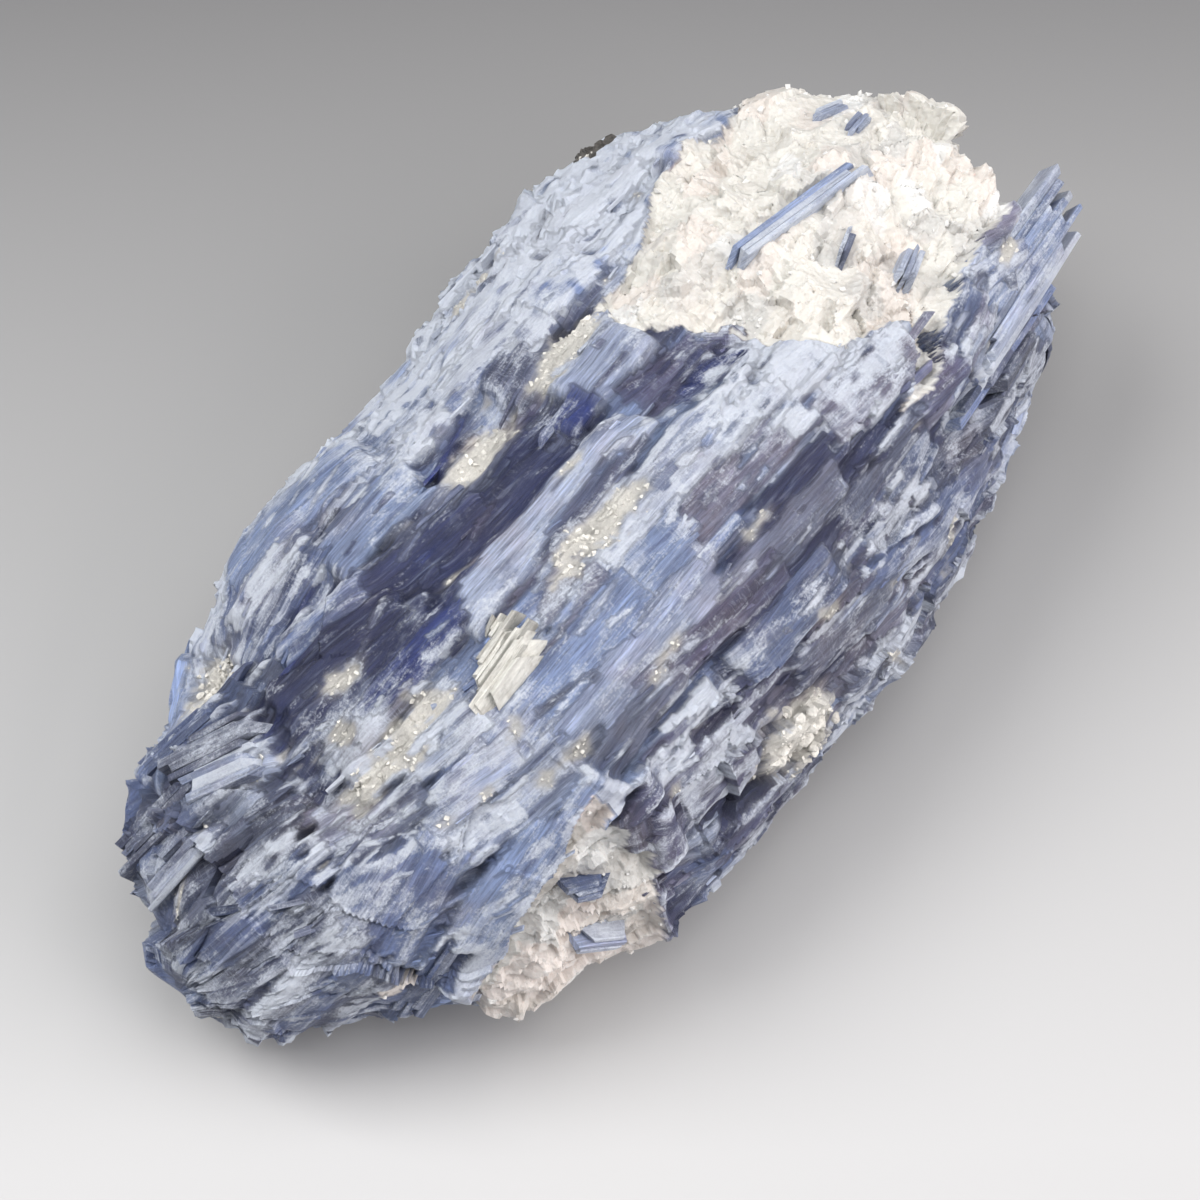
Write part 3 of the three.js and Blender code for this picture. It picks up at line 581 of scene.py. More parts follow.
def styles_at(x, y, rng):
    """A style for each place, drawn from the mixture that its zone holds."""
    names = np.array(["slate"] * len(x), dtype=object)
    wobble = 1.5 * smooth_noise(x / 4, y / 4, 5)
    streak = 1 + 1.3 * smooth_noise(x / 13, y / 2.4, 7)
    stray = rng.normal(0, 0.11, len(x))
    for zx, zy, half_x, half_y, mixture in ZONES:
        held = (np.abs(x - zx) < half_x + wobble) & (np.abs(y - zy) < half_y + wobble)
        pick = (streak + stray) % 1 * len(mixture)
        names[held] = np.array(mixture, dtype=object)[pick[held].astype(int)]
    return names


def tints(names, spread, rng):
    """A colour and a frost for each style name, each a little different."""
    body = np.array([STYLES[n][0] for n in names])
    streak = np.array([STYLES[n][1] for n in names])
    frost = np.array([STYLES[n][2] for n in names])
    share = rng.random((len(names), 1)) ** 1.6
    tone = np.exp(rng.normal(0, 1, (len(names), 1)) * spread)
    color = (body * (1 - share * 0.6) + streak * share * 0.6) * tone
    return color, frost * rng.uniform(0.3, 1.6, len(names))


# ---------- plates ----------
def blade_frame(x0, y0, x1, y1, roll):
    start, end = on_surface(x0, y0), on_surface(x1, y1)
    x, y = (x0 + x1) / 2, (y0 + y1) / 2
    x, y = np.float64(x), np.float64(y)
    rise = surface_height(x, y + 0.5) - surface_height(x, y - 0.5)
    along = unit(end - start)
    up = unit(np.cross(along, np.array([0, 1, rise])))
    up = up if up[2] > 0 else -up
    turn = math.radians(roll)
    return start, end, up * math.cos(turn) + np.cross(along, up) * math.sin(turn)


def lay_named(relief, rng):
    for number, (style, x0, y0, x1, y1, width, lift, roll, kind) in enumerate(BLADES):
        start, end, up = blade_frame(x0, y0, x1, y1, roll)
        centre, length = (start + end) / 2, np.linalg.norm(end - start)
        tint, frost = tints([style], 0.06, rng)
        relief.lay(
            centre, unit(end - start), up, length, width, 0.3 + 0.5 * lift, kind, tint[0], frost[0],
            1000 + number * 17, follow=0.6, over_all=True,
        )


FULL_RADIUS, THIN_SHARE = 32, 4  # every place is kept where the radius and the share reach the full radius


def strewn(x_from, x_to, count, rng):
    """Places strewn over the rock as x and angle, fewer where it is thin."""
    x = rng.uniform(x_from, x_to, count)
    angle = rng.uniform(0, TURN, count)
    keep = rng.random(count) * FULL_RADIUS < look_up(x, angle) + THIN_SHARE
    return x[keep], angle[keep]


def lay_scattered(
    relief, count, lengths, widths, lifts, kinds, rng, swing=4, tilt=5, spread=0.18, on_top=False
):
    """Plates strewn all over the rock along the run of its blades."""
    x, angle = strewn(LOW_END + 0.5, TOP_END - 0.5, count, rng)
    count = len(x)
    at = place(x, angle, 0)
    out = tangents(x, angle)[2]
    way = run_of(at, out, np.radians(rng.normal(0, swing, count)))
    lean = np.radians(rng.normal(0, tilt, count))[:, None]
    ups = out * np.cos(lean) + np.cross(way, out) * np.sin(lean)
    ups = unit(ups + way * rng.normal(0, 0.03, (count, 1)))
    length = rng.uniform(*lengths, count)
    width = widths[0] + (widths[1] - widths[0]) * rng.random(count) ** 1.6
    lift = rng.uniform(*lifts, count)
    tint, frost = tints(styles_at(x, at[:, 1], rng), spread, rng)
    pick = rng.integers(0, len(kinds), count)
    seeds = rng.integers(0, 100000, count)
    for k in range(count):
        relief.lay(
            at[k], way[k], ups[k], length[k], width[k], lift[k], kinds[pick[k]], tint[k], frost[k],
            int(seeds[k]), on_top=on_top,
        )


# ---------- grains ----------
SPARE_HEIGHT = 0.8  # how far a lump may stand over the model's box
CUTS = 12  # flat faces that cut each lump
CUBE = np.array([[a, b, c] for a in (-1, 1) for b in (-1, 1) for c in (-1, 1)], float)
CUBE_FACES = np.array([[0, 1, 3, 2], [4, 6, 7, 5], [0, 4, 5, 1], [2, 3, 7, 6], [0, 2, 6, 4], [1, 5, 7, 3]])


def grain_mesh(name, centres, sizes, material, rng, tint):
    """Angular broken grains: each is a block with its corners knocked about, turned at random."""
    count = len(centres)
    corners = CUBE[None] * rng.uniform(0.55, 1.2, (count, 8, 1)) + rng.normal(0, 0.16, (count, 8, 3))
    corners = corners * rng.uniform(0.6, 1.25, (count, 1, 3))
    q = unit(rng.normal(0, 1, (count, 4)))
    w, x, y, z = q.T
    turn = np.stack([
        np.stack([1 - 2 * (y * y + z * z), 2 * (x * y - z * w), 2 * (x * z + y * w)], -1),
        np.stack([2 * (x * y + z * w), 1 - 2 * (x * x + z * z), 2 * (y * z - x * w)], -1),
        np.stack([2 * (x * z - y * w), 2 * (y * z + x * w), 1 - 2 * (x * x + y * y)], -1),
    ], 1)
    points = np.einsum("nij,nkj->nki", turn, corners) * (sizes[:, None, None] * 0.5) + centres[:, None]
    faces = CUBE_FACES[None] + np.arange(count)[:, None, None] * 8
    tint = np.repeat(tint, 8, 0)
    return build_mesh(name, points.reshape(-1, 3), [faces.reshape(-1, 4)], material, tint=tint)


def broken_crystals(name, centres, sizes, material, rng, tint, flat=1.0):
    """Angular lumps of broken mineral: each is a ball cut by flat faces at random."""
    ball = bmesh.new()
    bmesh.ops.create_icosphere(ball, subdivisions=2, radius=1)
    ball.verts.ensure_lookup_table()
    ways = np.array([v.co[:] for v in ball.verts])
    shape = np.array([[v.index for v in f.verts] for f in ball.faces])
    ball.free()
    count = len(centres)
    cuts = unit(rng.normal(0, 1, (count, CUTS, 3)))
    depth = rng.uniform(0.62, 1.0, (count, CUTS))
    facing = np.einsum("vd,npd->nvp", ways, cuts)
    reach = (depth[:, None] / np.maximum(facing, 0.2)).min(-1)
    reach = np.minimum(reach, 1.5)[..., None] * ways[None]
    reach = reach * rng.uniform(0.65, 1.2, (count, 1, 3)) * np.array([1, 1, flat])
    points = reach * (sizes[:, None, None] * 0.5) + centres[:, None]
    over = points[..., 2].max(-1) - (CAD_BOX[1][2] / MM + SPARE_HEIGHT)
    points[..., 2] -= np.maximum(over, 0)[:, None]
    faces = shape[None] + np.arange(count)[:, None, None] * len(ways)
    tint = np.repeat(tint, len(ways), 0)
    return build_mesh(name, points.reshape(-1, 3), [faces.reshape(-1, 3)], material, tint=tint)


# ---------- laths ----------
SIDES, STATIONS = 6, 3


def laths_of(start, end, up, width, depth, kind, style, rng, stray=0.1):
    """The laths that make up one crystal, which is as wide as its bundle and this deep."""
    lath, spread, ragged = KINDS[kind][:3]
    length = np.linalg.norm(end - start)
    along = unit(end - start)
    across = unit(np.cross(up, along))
    out = np.cross(along, across)
    count = max(2, int(round(width / lath)))
    edges = np.linspace(-0.5, 0.5, count + 1)
    edges[1:-1] += rng.normal(0, 0.16 / count, count - 1)
    side = (edges[1:] + edges[:-1]) / 2
    share = np.diff(edges) * 1.06
    level = rng.normal(0, spread, count) - 0.35 * width * side**2
    near = ragged * rng.random(count) ** 1.5 * length
    far = length * (1 - ragged * rng.random(count) ** 1.5)
    base = start + along * near[:, None] + across * (side * width)[:, None] + out * level[:, None]
    tip = start + along * far[:, None] + across * (side * width)[:, None] + out * level[:, None]
    tint, frost = tints([style] * count, stray, rng)
    lean = np.radians(rng.normal(0, 5, count))[:, None]
    ups = out * np.cos(lean) + across * np.sin(lean)
    return lath_batch(base, tip, ups, share * width, np.full(count, depth), tint, frost, rng)


def lath_batch(start, end, up, width, depth, tint, frost, rng, taper=0.15):
    along = unit(end - start)
    across = unit(np.cross(up, along))
    count = len(start)
    return {
        "start": start, "along": along, "across": across, "out": np.cross(along, across),
        "length": np.linalg.norm(end - start, axis=-1), "width": width, "depth": depth, "tint": tint,
        "frost": frost,
        "narrow": 1 - rng.random((count, 2)) ** 2 * taper * 2,
        "skew": rng.normal(0, 0.5, (count, 2)),
        "slant": rng.uniform(0.1, 0.9, (count, 2)),
        "crown": rng.normal(0.02, 0.05, count) * width,
        "ridge": rng.uniform(-0.25, 0.25, count),
        "bend": rng.normal(0, 0.04, (count, 2)) * width[:, None],
        "mark": rng.random(count) * 100,
    }


def joined(batches):
    return {key: np.concatenate([b[key] for b in batches]) for key in batches[0]}


def lath_mesh(name, batch, material):
    """One mesh of closed six-sided bars, each with a low ridge on its top and slanting ends."""
    count = len(batch["start"])
    width, depth = batch["width"][:, None], batch["depth"][:, None]
    one = np.ones_like(width)
    sides = [-0.4 * one, 0.4 * one, 0.5 * one, 0.42 * one, batch["ridge"][:, None], -0.5 * one]
    across = np.concatenate(sides, 1) * width
    chamfer = np.minimum(0.12 * width, 0.3 * depth)
    levels = [-depth, -depth, -chamfer, 0 * one, batch["crown"][:, None], -chamfer]
    level = np.concatenate(levels, 1)
    stations = []
    for k in range(STATIONS):
        middle_ = k == 1
        end = 0 if k == 0 else 1
        narrow = one if middle_ else batch["narrow"][:, end : end + 1]
        side = across * narrow
        far = (k / (STATIONS - 1)) * batch["length"][:, None] + np.zeros_like(side)
        if not middle_:
            slope = batch["slant"][:, end : end + 1] * np.maximum(level + 0.8 * depth, 0)
            far = far + (slope if k == 0 else -slope) + batch["skew"][:, end : end + 1] * side
        bend = batch["bend"] if middle_ else 0 * batch["bend"]
        stations.append((far, side + bend[:, :1], level + bend[:, 1:]))
    far, drift, rise = (np.stack([s[i] for s in stations], 1) for i in range(3))
    points = batch["start"][:, None, None] + sum(
        batch[key][:, None, None] * value[..., None]
        for key, value in (("along", far), ("across", drift), ("out", rise))
    )
    base = np.arange(count)[:, None, None] * SIDES * STATIONS
    ring = np.arange(STATIONS - 1)[None, :, None] * SIDES
    i = np.arange(SIDES)[None, None, :]
    j = (i + 1) % SIDES
    ring = base + ring
    quads = np.stack([ring + i, ring + j, ring + SIDES + j, ring + SIDES + i], -1)
    last = (STATIONS - 1) * SIDES
    caps = np.stack([np.arange(SIDES)[::-1], np.arange(SIDES) + last])[None] + base
    size = SIDES * STATIONS
    grain = [far.reshape(-1), (drift + 0.7 * rise).reshape(-1), np.repeat(batch["mark"], size)]
    return build_mesh(
        name, points.reshape(-1, 3), [quads.reshape(-1, 4), caps.reshape(-1, SIDES)], material,
        tint=np.repeat(batch["tint"], size, 0), frost=np.repeat(batch["frost"], size),
        grain=np.stack(grain, -1), grit=np.zeros(count * size),
    )


# ---------- meshes ----------
def add_object(name, data):
    thing = bpy.data.objects.new(name, data)
    bpy.context.scene.collection.objects.link(thing)
    return thing


def build_mesh(name, points, faces, material, tint=None, frost=None, grain=None, grit=None, sharp=None):
    """A mesh object from points in millimetres and arrays of faces with equal numbers of corners."""
    points = points.copy()
    points[:, 2] = np.maximum(points[:, 2], 0)
    mesh = bpy.data.meshes.new(name)
    faces = [f for f in faces if len(f)]
    sizes = np.concatenate([np.full(len(f), f.shape[1]) for f in faces])
    corners = np.concatenate([f.ravel() for f in faces])
    mesh.vertices.add(len(points))
    mesh.vertices.foreach_set("co", (points * MM).astype(np.float32).ravel())
    mesh.loops.add(len(corners))
    mesh.loops.foreach_set("vertex_index", corners.astype(np.int32))
    mesh.polygons.add(len(sizes))
    starts = np.concatenate([[0], np.cumsum(sizes)[:-1]])
    mesh.polygons.foreach_set("loop_start", starts.astype(np.int32))
    mesh.polygons.foreach_set("loop_total", sizes.astype(np.int32))
    mesh.update(calc_edges=True)
    mesh.validate()
    if tint is not None:
        rgba = np.concatenate([tint, np.ones((len(tint), 1))], 1)
        layer = mesh.attributes.new("tint", "FLOAT_COLOR", "POINT")
        layer.data.foreach_set("color", rgba.astype(np.float32).ravel())
    for key, value in (("frost", frost), ("grit", grit)):
        if value is not None:
            mesh.attributes.new(key, "FLOAT", "POINT").data.foreach_set("value", value.astype(np.float32))
    if grain is not None:
        layer = mesh.attributes.new("grain", "FLOAT_VECTOR", "POINT")
        layer.data.foreach_set("vector", grain.astype(np.float32).ravel())
    if sharp is None:
        mesh.shade_flat()
    else:
        mesh.shade_smooth()
        mesh.set_sharp_from_angle(angle=math.radians(sharp))
    mesh.materials.append(material)
    return add_object(name, mesh)


HEART = np.array([0.0, 0.0, 13.0])  # every piece of the surface is closed by faces down to this point


def surface_piece(relief, name, cells, material, sharp):
    """The marked cells of the relief as one closed mesh."""
    rows, around = relief.height.shape
    points = (relief.at + relief.out * relief.height[..., None]).reshape(-1, 3)
    index = np.arange(rows * around).reshape(rows, around)
    index[0], index[-1] = index[0, 0], index[-1, 0]
    points[index[0, 0]] = points[:around].mean(0)
    points[index[-1, 0]] = points[-around:].mean(0)
    i, j = np.nonzero(cells)
    k = (j + 1) % around
    corners = np.stack([index[i, j], index[i, k], index[i + 1, k], index[i + 1, j]], -1)
    whole = corners[(i > 0) & (i < rows - 2)]
    low, high = corners[i == 0][:, [0, 2, 3]], corners[i == rows - 2][:, [0, 1, 2]]
    sides = [f[:, [n, (n + 1) % f.shape[1]]] for f in (whole, low, high) for n in range(f.shape[1])]
    edges = np.concatenate(sides)
    code = edges[:, 0] * len(points) + edges[:, 1]
    back = edges[:, 1] * len(points) + edges[:, 0]
    rim = edges[~np.isin(code, back)]
    used = np.unique(np.concatenate([whole.ravel(), low.ravel(), high.ravel()]))
    fresh = np.full(len(points) + 1, -1)
    fresh[used] = np.arange(len(used))
    fresh[-1] = len(used)
    cone = np.stack([rim[:, 1], rim[:, 0], np.full(len(rim), len(points))], -1)

    def carried(values):
        flat = values.reshape(len(points), -1)[used]
        return np.concatenate([flat, flat.mean(0, keepdims=True)])

    closed = np.concatenate([points[used], HEART[None]])
    return build_mesh(
        name, closed, [fresh[f] for f in (whole, low, high, cone)], material, tint=carried(relief.tint),
        frost=carried(relief.frost)[:, 0], grain=carried(relief.grain),
        grit=carried(relief.grit)[:, 0], sharp=sharp,
    )


# ---------- terraces, infill, holes and quartz ----------
# How far parts of the top stand over or under its nominal level: x, y, half length, half width, rise.
TERRACES = [
    (-10, 2.4, 11, 3.4, -1.1), (10, -1.6, 7, 3.0, -1.2), (-6, 7.6, 7, 2.2, -0.9), (-14, -6.5, 17, 4.5, 0.6),
    (8, -8.5, 11, 3.2, 0.7), (-10, -13, 18, 2.6, 0.4), (-34, -2, 4, 3, -1.0), (-20, 16, 14, 5, 0.8),
    (8, 14, 9, 4, 0.7), (22, 19, 11, 7, 0.9), (-2, 20, 9, 2.5, -0.6), (14, -20, 14, 2.0, -0.9),
    (-30, -8, 7, 2.5, -0.7), (-12, -21.5, 8, 1.8, -0.9), (-38, 9, 6, 4, 0.7), (28, -15, 9, 2.5, 0.8),
    (30, -20, 9, 3, -0.7), (5, -17, 22, 1.6, 0.6), (-28, 4, 7, 3, 0.3), (-32, 13, 4, 3, -1.0),
]


def terrace(at):
    """The rise of the terraces and of the rock's broad unevenness at these points."""
    x, y, z = at[..., 0], at[..., 1], at[..., 2]
    rise = 0.55 * smooth_noise(x / 9, (y + z) / 5, 101) + 0.45 * smooth_noise(x / 4.5, (y - z) / 3, 103)
    ends = np.clip((-37 - x) / 7, 0, 1)
    rise = rise + ends * (facets(y + 0.3 * x, z, 3.6, 0.8, 0.25, 105, cliffs=True) - 0.1)
    broad = facets(x / 1.8 + 0.4 * z, y + 0.6 * z, 9, 1.0, 0.1, 109, cliffs=True) - 0.6
    rise = rise + np.clip((30 - z) / 8, 0, 1) * np.clip(broad, -2.0, 0.4)
    flank = np.clip((24 - z) / 8, 0, 1) * (1 - ends)
    rise = rise + flank * facets(x / 2.2, z, 3.4, 0.6, 0.2, 107, cliffs=True)
    for tx, ty, half_x, half_y, amount in TERRACES:
        far = ((x - tx) / half_x) ** 2 + ((y - ty) / half_y) ** 2
        rise = rise + np.where(z > 12, amount * np.clip(1.6 - far, 0, 1), 0)
    return rise


# Cream infill along lines on the surface: from x, from y, to x, to y, half width.
SEAMS = [
    (-31, 14, -35, 11, 2.2), (-44, 3.4, -46.5, 1.4, 1.2), (-38, 3, -36, 1.5, 0.9),
    (-28.5, 0.7, -26, 0.2, 0.8), (-8.5, 5.8, -3.5, 6.8, 1.3), (2, 6.5, 8.5, 7.8, 1.4),
    (-19, -1, -8, -0.9, 0.5), (-5.5, -1, -2, -1.8, 0.5), (-6, -7.5, -2, -7, 1.1), (-15, -9.6, -7, -9, 0.8),
    (6, -5, 12, -5.6, 0.5), (-6.5, 20.5, -4, 19, 1.0), (5, 21, 12, 21, 0.9), (-23.5, -13, -21.5, -13, 0.9),
    (-22.5, -17, -18.5, -17.5, 0.8), (-16.5, -12, -13.5, -12.5, 0.5), (3, -15.5, 5, -15.4, 0.7),
    (-11, -18, -7.5, -17, 0.7), (-13, -28.6, -6, -28.8, 1.1), (-33, -6.5, -30.5, -6.6, 1.3),
    (-28, -7, -24.5, -7.4, 1.7), (-15.5, -24, -13.5, -23.5, 0.7), (9, -24, 13, -24, 0.6),
    (40, -12, 47, -9.5, 0.8), (41, -7.6, 45, -6.8, 1.2), (-36, 1, -30, -2.5, 1.0),
    (4, -22.5, 5.2, -23, 0.9), (20, -24.3, 22, -23, 0.8), (-4, -26.4, 0, -26.4, 2.3),
    (-30, -13.6, -26, -14.4, 0.6), (-7, 19.4, -2, 20, 0.9), (9.6, -26, 12.4, -26.2, 0.7),
]
# Hollows and open cracks, the same way, with their depth; each is sunk, and its tint darkened towards its
# middle as painted shade.
HOLLOWS = [
    (-15.4, -8.1, -14.5, -8, 0.7, 2.4), (-10, -7.4, -6.8, -7.5, 0.9, 1.1), (-11, 8, -6, 8.6, 0.8, 1.2),
    (-18.5, 6.5, -15, 6, 0.35, 1.0), (6.5, 9.6, 10.5, 9.1, 0.5, 1.1), (7, -19.8, 16, -18, 0.6, 1.0),
    (9.5, -22.3, 22.5, -22.5, 0.25, 1.0), (-43, 4, -37, 1, 0.45, 1.4), (-37, 1, -33, -2.4, 0.5, 1.3),
    (0, -4.6, 6, -5.2, 0.45, 1.2), (-0.9, 1.2, -0.9, 5, 0.35, 1.4), (-34.5, -11, -32.5, -12, 0.5, 1.0),
    (-35, -20.2, -24, -22.2, 0.5, 1.2), (-28, -18.3, -23, -19, 0.3, 0.9), (9.5, -2.6, 15, -3.8, 0.8, 0.9),
    (-24, -10.4, -14, -9.6, 0.4, 1.3), (-14, -5, -11.5, -4.7, 0.3, 0.7), (-21, -20.4, -20, -27.5, 0.4, 1.2),
]
# Chalky white ground among the blue, and cleaner ground where it is below zero: x, y, half length, half
# width, how much.
CHALK = [
    (21, 19, 12, 9, 1.3), (-14, 18, 14, 5, 0.45), (15, -6, 6, 4, 1.0), (-4, -9, 8, 1.6, 0.5),
    (4, 15, 9, 6, 0.45), (-29, -7, 5, 3, 0.6), (-31, -3, 5, 3, 0.4), (20, -9, 5, 4, 1.3),
    (8, -23, 14, 3, 0.25), (30, -14, 8, 3, 0.4), (-38, -8, 8, 5, 0.15), (-8, 22, 12, 3, 0.4),
    (-24, -15, 6, 3, 0.35), (-27, -19, 9, 3, -0.6), (-12, 2, 14, 5, -0.22), (-25, 0, 9, 5, -0.2),
    (-43, -6, 6, 8, 0.15), (2, -16.5, 14, 3, -0.3),
]


# Beds of quartz and black grains: model node, and how far its middle stands over the nominal surface.
BEDS = {
    "quartz_nugget": 1.0, "quartz_cavity": -0.2, "quartz_lens_1": 0.3, "quartz_lens_2": 0.3,
    "quartz_lens_3": 0.3, "black_mineral": 1.3,
}
BED_DEPTH = 4  # cells of the relief farther than this from a bed's middle level don't belong to it


def bed_share(relief, node, rough):
    """How far each cell belongs to the bed that fills a node's box."""
    low, high = (np.array(v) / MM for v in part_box(node))
    rel = relief.at - (low + high) / 2
    away = (rel * relief.out).sum(-1)
    flat = rel - away[..., None] * relief.out
    far = ((flat / (0.5 * (high - low))) ** 2).sum(-1)
    return np.where(np.abs(away) < BED_DEPTH, np.clip((0.95 + 0.7 * rough - far) / 0.4, 0, 1), 0)


def add_infill(relief):
    at = relief.at
    across = relief.across
    rough = smooth_noise(at[..., 0] * 0.8, across * 0.9, 31)
    fine = smooth_noise(at[..., 0] * 2.3, across * 2.6, 33)
    for x, y, half_x, half_y, amount in CHALK:
        near = np.exp(-(((at[..., 0] - x) / half_x) ** 2) - ((at[..., 1] - y) / half_y) ** 2)
        near = np.where(at[..., 2] > 10, near, 0)
        relief.frost += amount * near * (1 + 0.6 * rough)
    for number, (x0, y0, x1, y1, half) in enumerate(SEAMS):
        gap = relief.near_line(x0, y0, x1, y1) + 0.75 * half * rough + 0.4 * half * fine
        share = np.clip((half - gap) / 0.45, 0, 1)
        held = share > 0
        crumbs = facets(at[..., 0], across, 1.1, 0.14, 0.35, 50 + number)
        crumbs = crumbs + facets(at[..., 0], across, 0.5, 0.06, 0.3, 90)
        filled = relief.height * 0.55 - 0.1 + crumbs
        relief.height[held] += ((filled - relief.height) * share)[held]
        cream = np.array(CREAM) * (1 + 0.14 * fine + 0.1 * rough)[..., None]
        relief.tint[held] += ((cream - relief.tint) * share[..., None])[held]
        relief.grit[held] = np.maximum(relief.grit, share)[held]
        relief.frost[held] = np.maximum(relief.frost, 0.5)[held]
    for number, (node, stand) in enumerate(BEDS.items()):
        share = bed_share(relief, node, rough + 0.9 * fine)
        lumps = facets(at[..., 0], across, 2.6, 0.5, 0.3, 130 + number)
        lumps = lumps + facets(at[..., 0], across, 0.9, 0.05, 0.2, 140)
        relief.height += (stand * share - 0.4 - 0.5 * lumps - relief.height) * share
        cream = np.array(CREAM) * (1.02 + 0.12 * fine + 0.1 * rough)[..., None]
        relief.tint += (cream - relief.tint) * share[..., None]
        relief.grit = np.maximum(relief.grit, share)
        relief.beds[node] = share > 0.55
    for x0, y0, x1, y1, half, depth in HOLLOWS:
        gap = (relief.near_line(x0, y0, x1, y1) + 0.6 * half * (rough + fine)) / (0.75 * half)
        held = gap < 1
        relief.height[held] -= 0.8 * depth * np.clip(1.6 * (1 - gap[held]), 0, 1)
        # Painted shade: the tint darkens towards the middle of each hollow and crack.
        relief.tint[held] *= (0.25 + 0.5 * np.clip(gap[held], 0, 1))[:, None]
        relief.frost[held] *= 0.3


def box_mean(values, reach):
    """Mean over a square of cells; the chart closes on itself round the rock."""
    wide = np.pad(values, ((reach, reach), (0, 0)), mode="edge")
    wide = np.concatenate([wide[:, -reach:], wide, wide[:, :reach]], 1)
    size = 2 * reach + 1
    for axis in (0, 1):
        total = np.cumsum(wide, axis)
        lead = np.zeros_like(np.take(total, [0], axis))
        total = np.concatenate([lead, total], axis)
        count = total.shape[axis]
        wide = (np.take(total, range(size, count), axis) - np.take(total, range(count - size), axis)) / size
    return wide


def run_mean(values, reach):
    """Mean over a run of cells along the rock, which is nearly along its blades."""
    wide = np.pad(values, ((reach + 1, reach), (0, 0)), mode="edge")
    total = np.cumsum(wide, 0)
    return (total[2 * reach + 1 :] - total[: -2 * reach - 1]) / (2 * reach + 1)


def weather_and_painted_shade(relief):
    """Steps are worn soft, edges that stand out are rubbed white, hollows hold dust, and low places are
    darkened as painted shade.
    """
    across = relief.across
    relief.height = 0.45 * box_mean(relief.height, 1) + 0.55 * run_mean(box_mean(relief.height, 1), 3)
    for axis in range(3):
        plain = relief.tint[..., axis]
        relief.tint[..., axis] = 0.3 * plain + 0.3 * box_mean(plain, 1) + 0.4 * run_mean(plain, 5)
    at, height = relief.at, relief.height
    stand = height - box_mean(height, 3)
    broad = height - box_mean(height, 9)
    patches = smooth_noise(at[..., 0] / 3.2, across / 2.2, 61)
    dusty = smooth_noise(at[..., 0] / 9, across / 5, 67)
    rubbed = np.clip(stand * 1.5, -0.3, 0.55) + 0.25 * np.clip(broad, -0.5, 0.6)
    relief.frost += rubbed + 0.22 * dusty + 0.12 * patches
    share = np.clip((-0.38 - broad) / 0.25, 0, 1) * np.clip((patches - 0.1) / 0.3, 0, 1)
    share = share * (relief.grit == 0) * np.clip((relief.frost - 0.15) / 0.2, 0, 1)
    crumbs = facets(at[..., 0], across, 0.8, 0.1, 0.35, 71)
    relief.height = height + share * (crumbs - 0.45 * broad - 0.2)
    relief.tint += (np.array(DUST) * (1 + 0.2 * patches)[..., None] - relief.tint) * share[..., None]
    relief.grit = np.maximum(relief.grit, share)
    # Painted shade and light: the tint darkens where the surface lies below its surroundings and lightens a
    # little where it stands above them.
    relief.tint *= np.exp(0.45 * np.clip(broad, -1.2, 0.3))[..., None]
    crumbly = np.clip((relief.frost - 0.7) / 0.4, 0, 1) * np.clip(0.5 + 1.5 * dusty + patches, 0, 1)
    broken = facets(at[..., 0], across, 1.2, 0.16, 0.4, 73, cliffs=True)
    relief.height += crumbly * (broken + 0.6 * crumbs - 0.05)
    bare = np.clip(smooth_noise(at[..., 0] / 1.6, across / 0.8, 75) * 2.2 - 0.6, 0, 1) * (relief.grit < 0.1)
    relief.tint *= (1 - 0.5 * bare * crumbly)[..., None]
    relief.frost = np.clip(relief.frost * (1 - 0.7 * bare), -0.3, 1.3)


BLUE, CAP, POCKET = 0, 1, 2  # what a cell of the relief is: kyanite, or quartz of the cap or the pocket
QUARTZ_TINTS = {CAP: (0.645, 0.63, 0.59), POCKET: (0.74, 0.68, 0.645)}
CROWN_X = 48.5  # past this the cap's faces follow the rock's end and not the chart


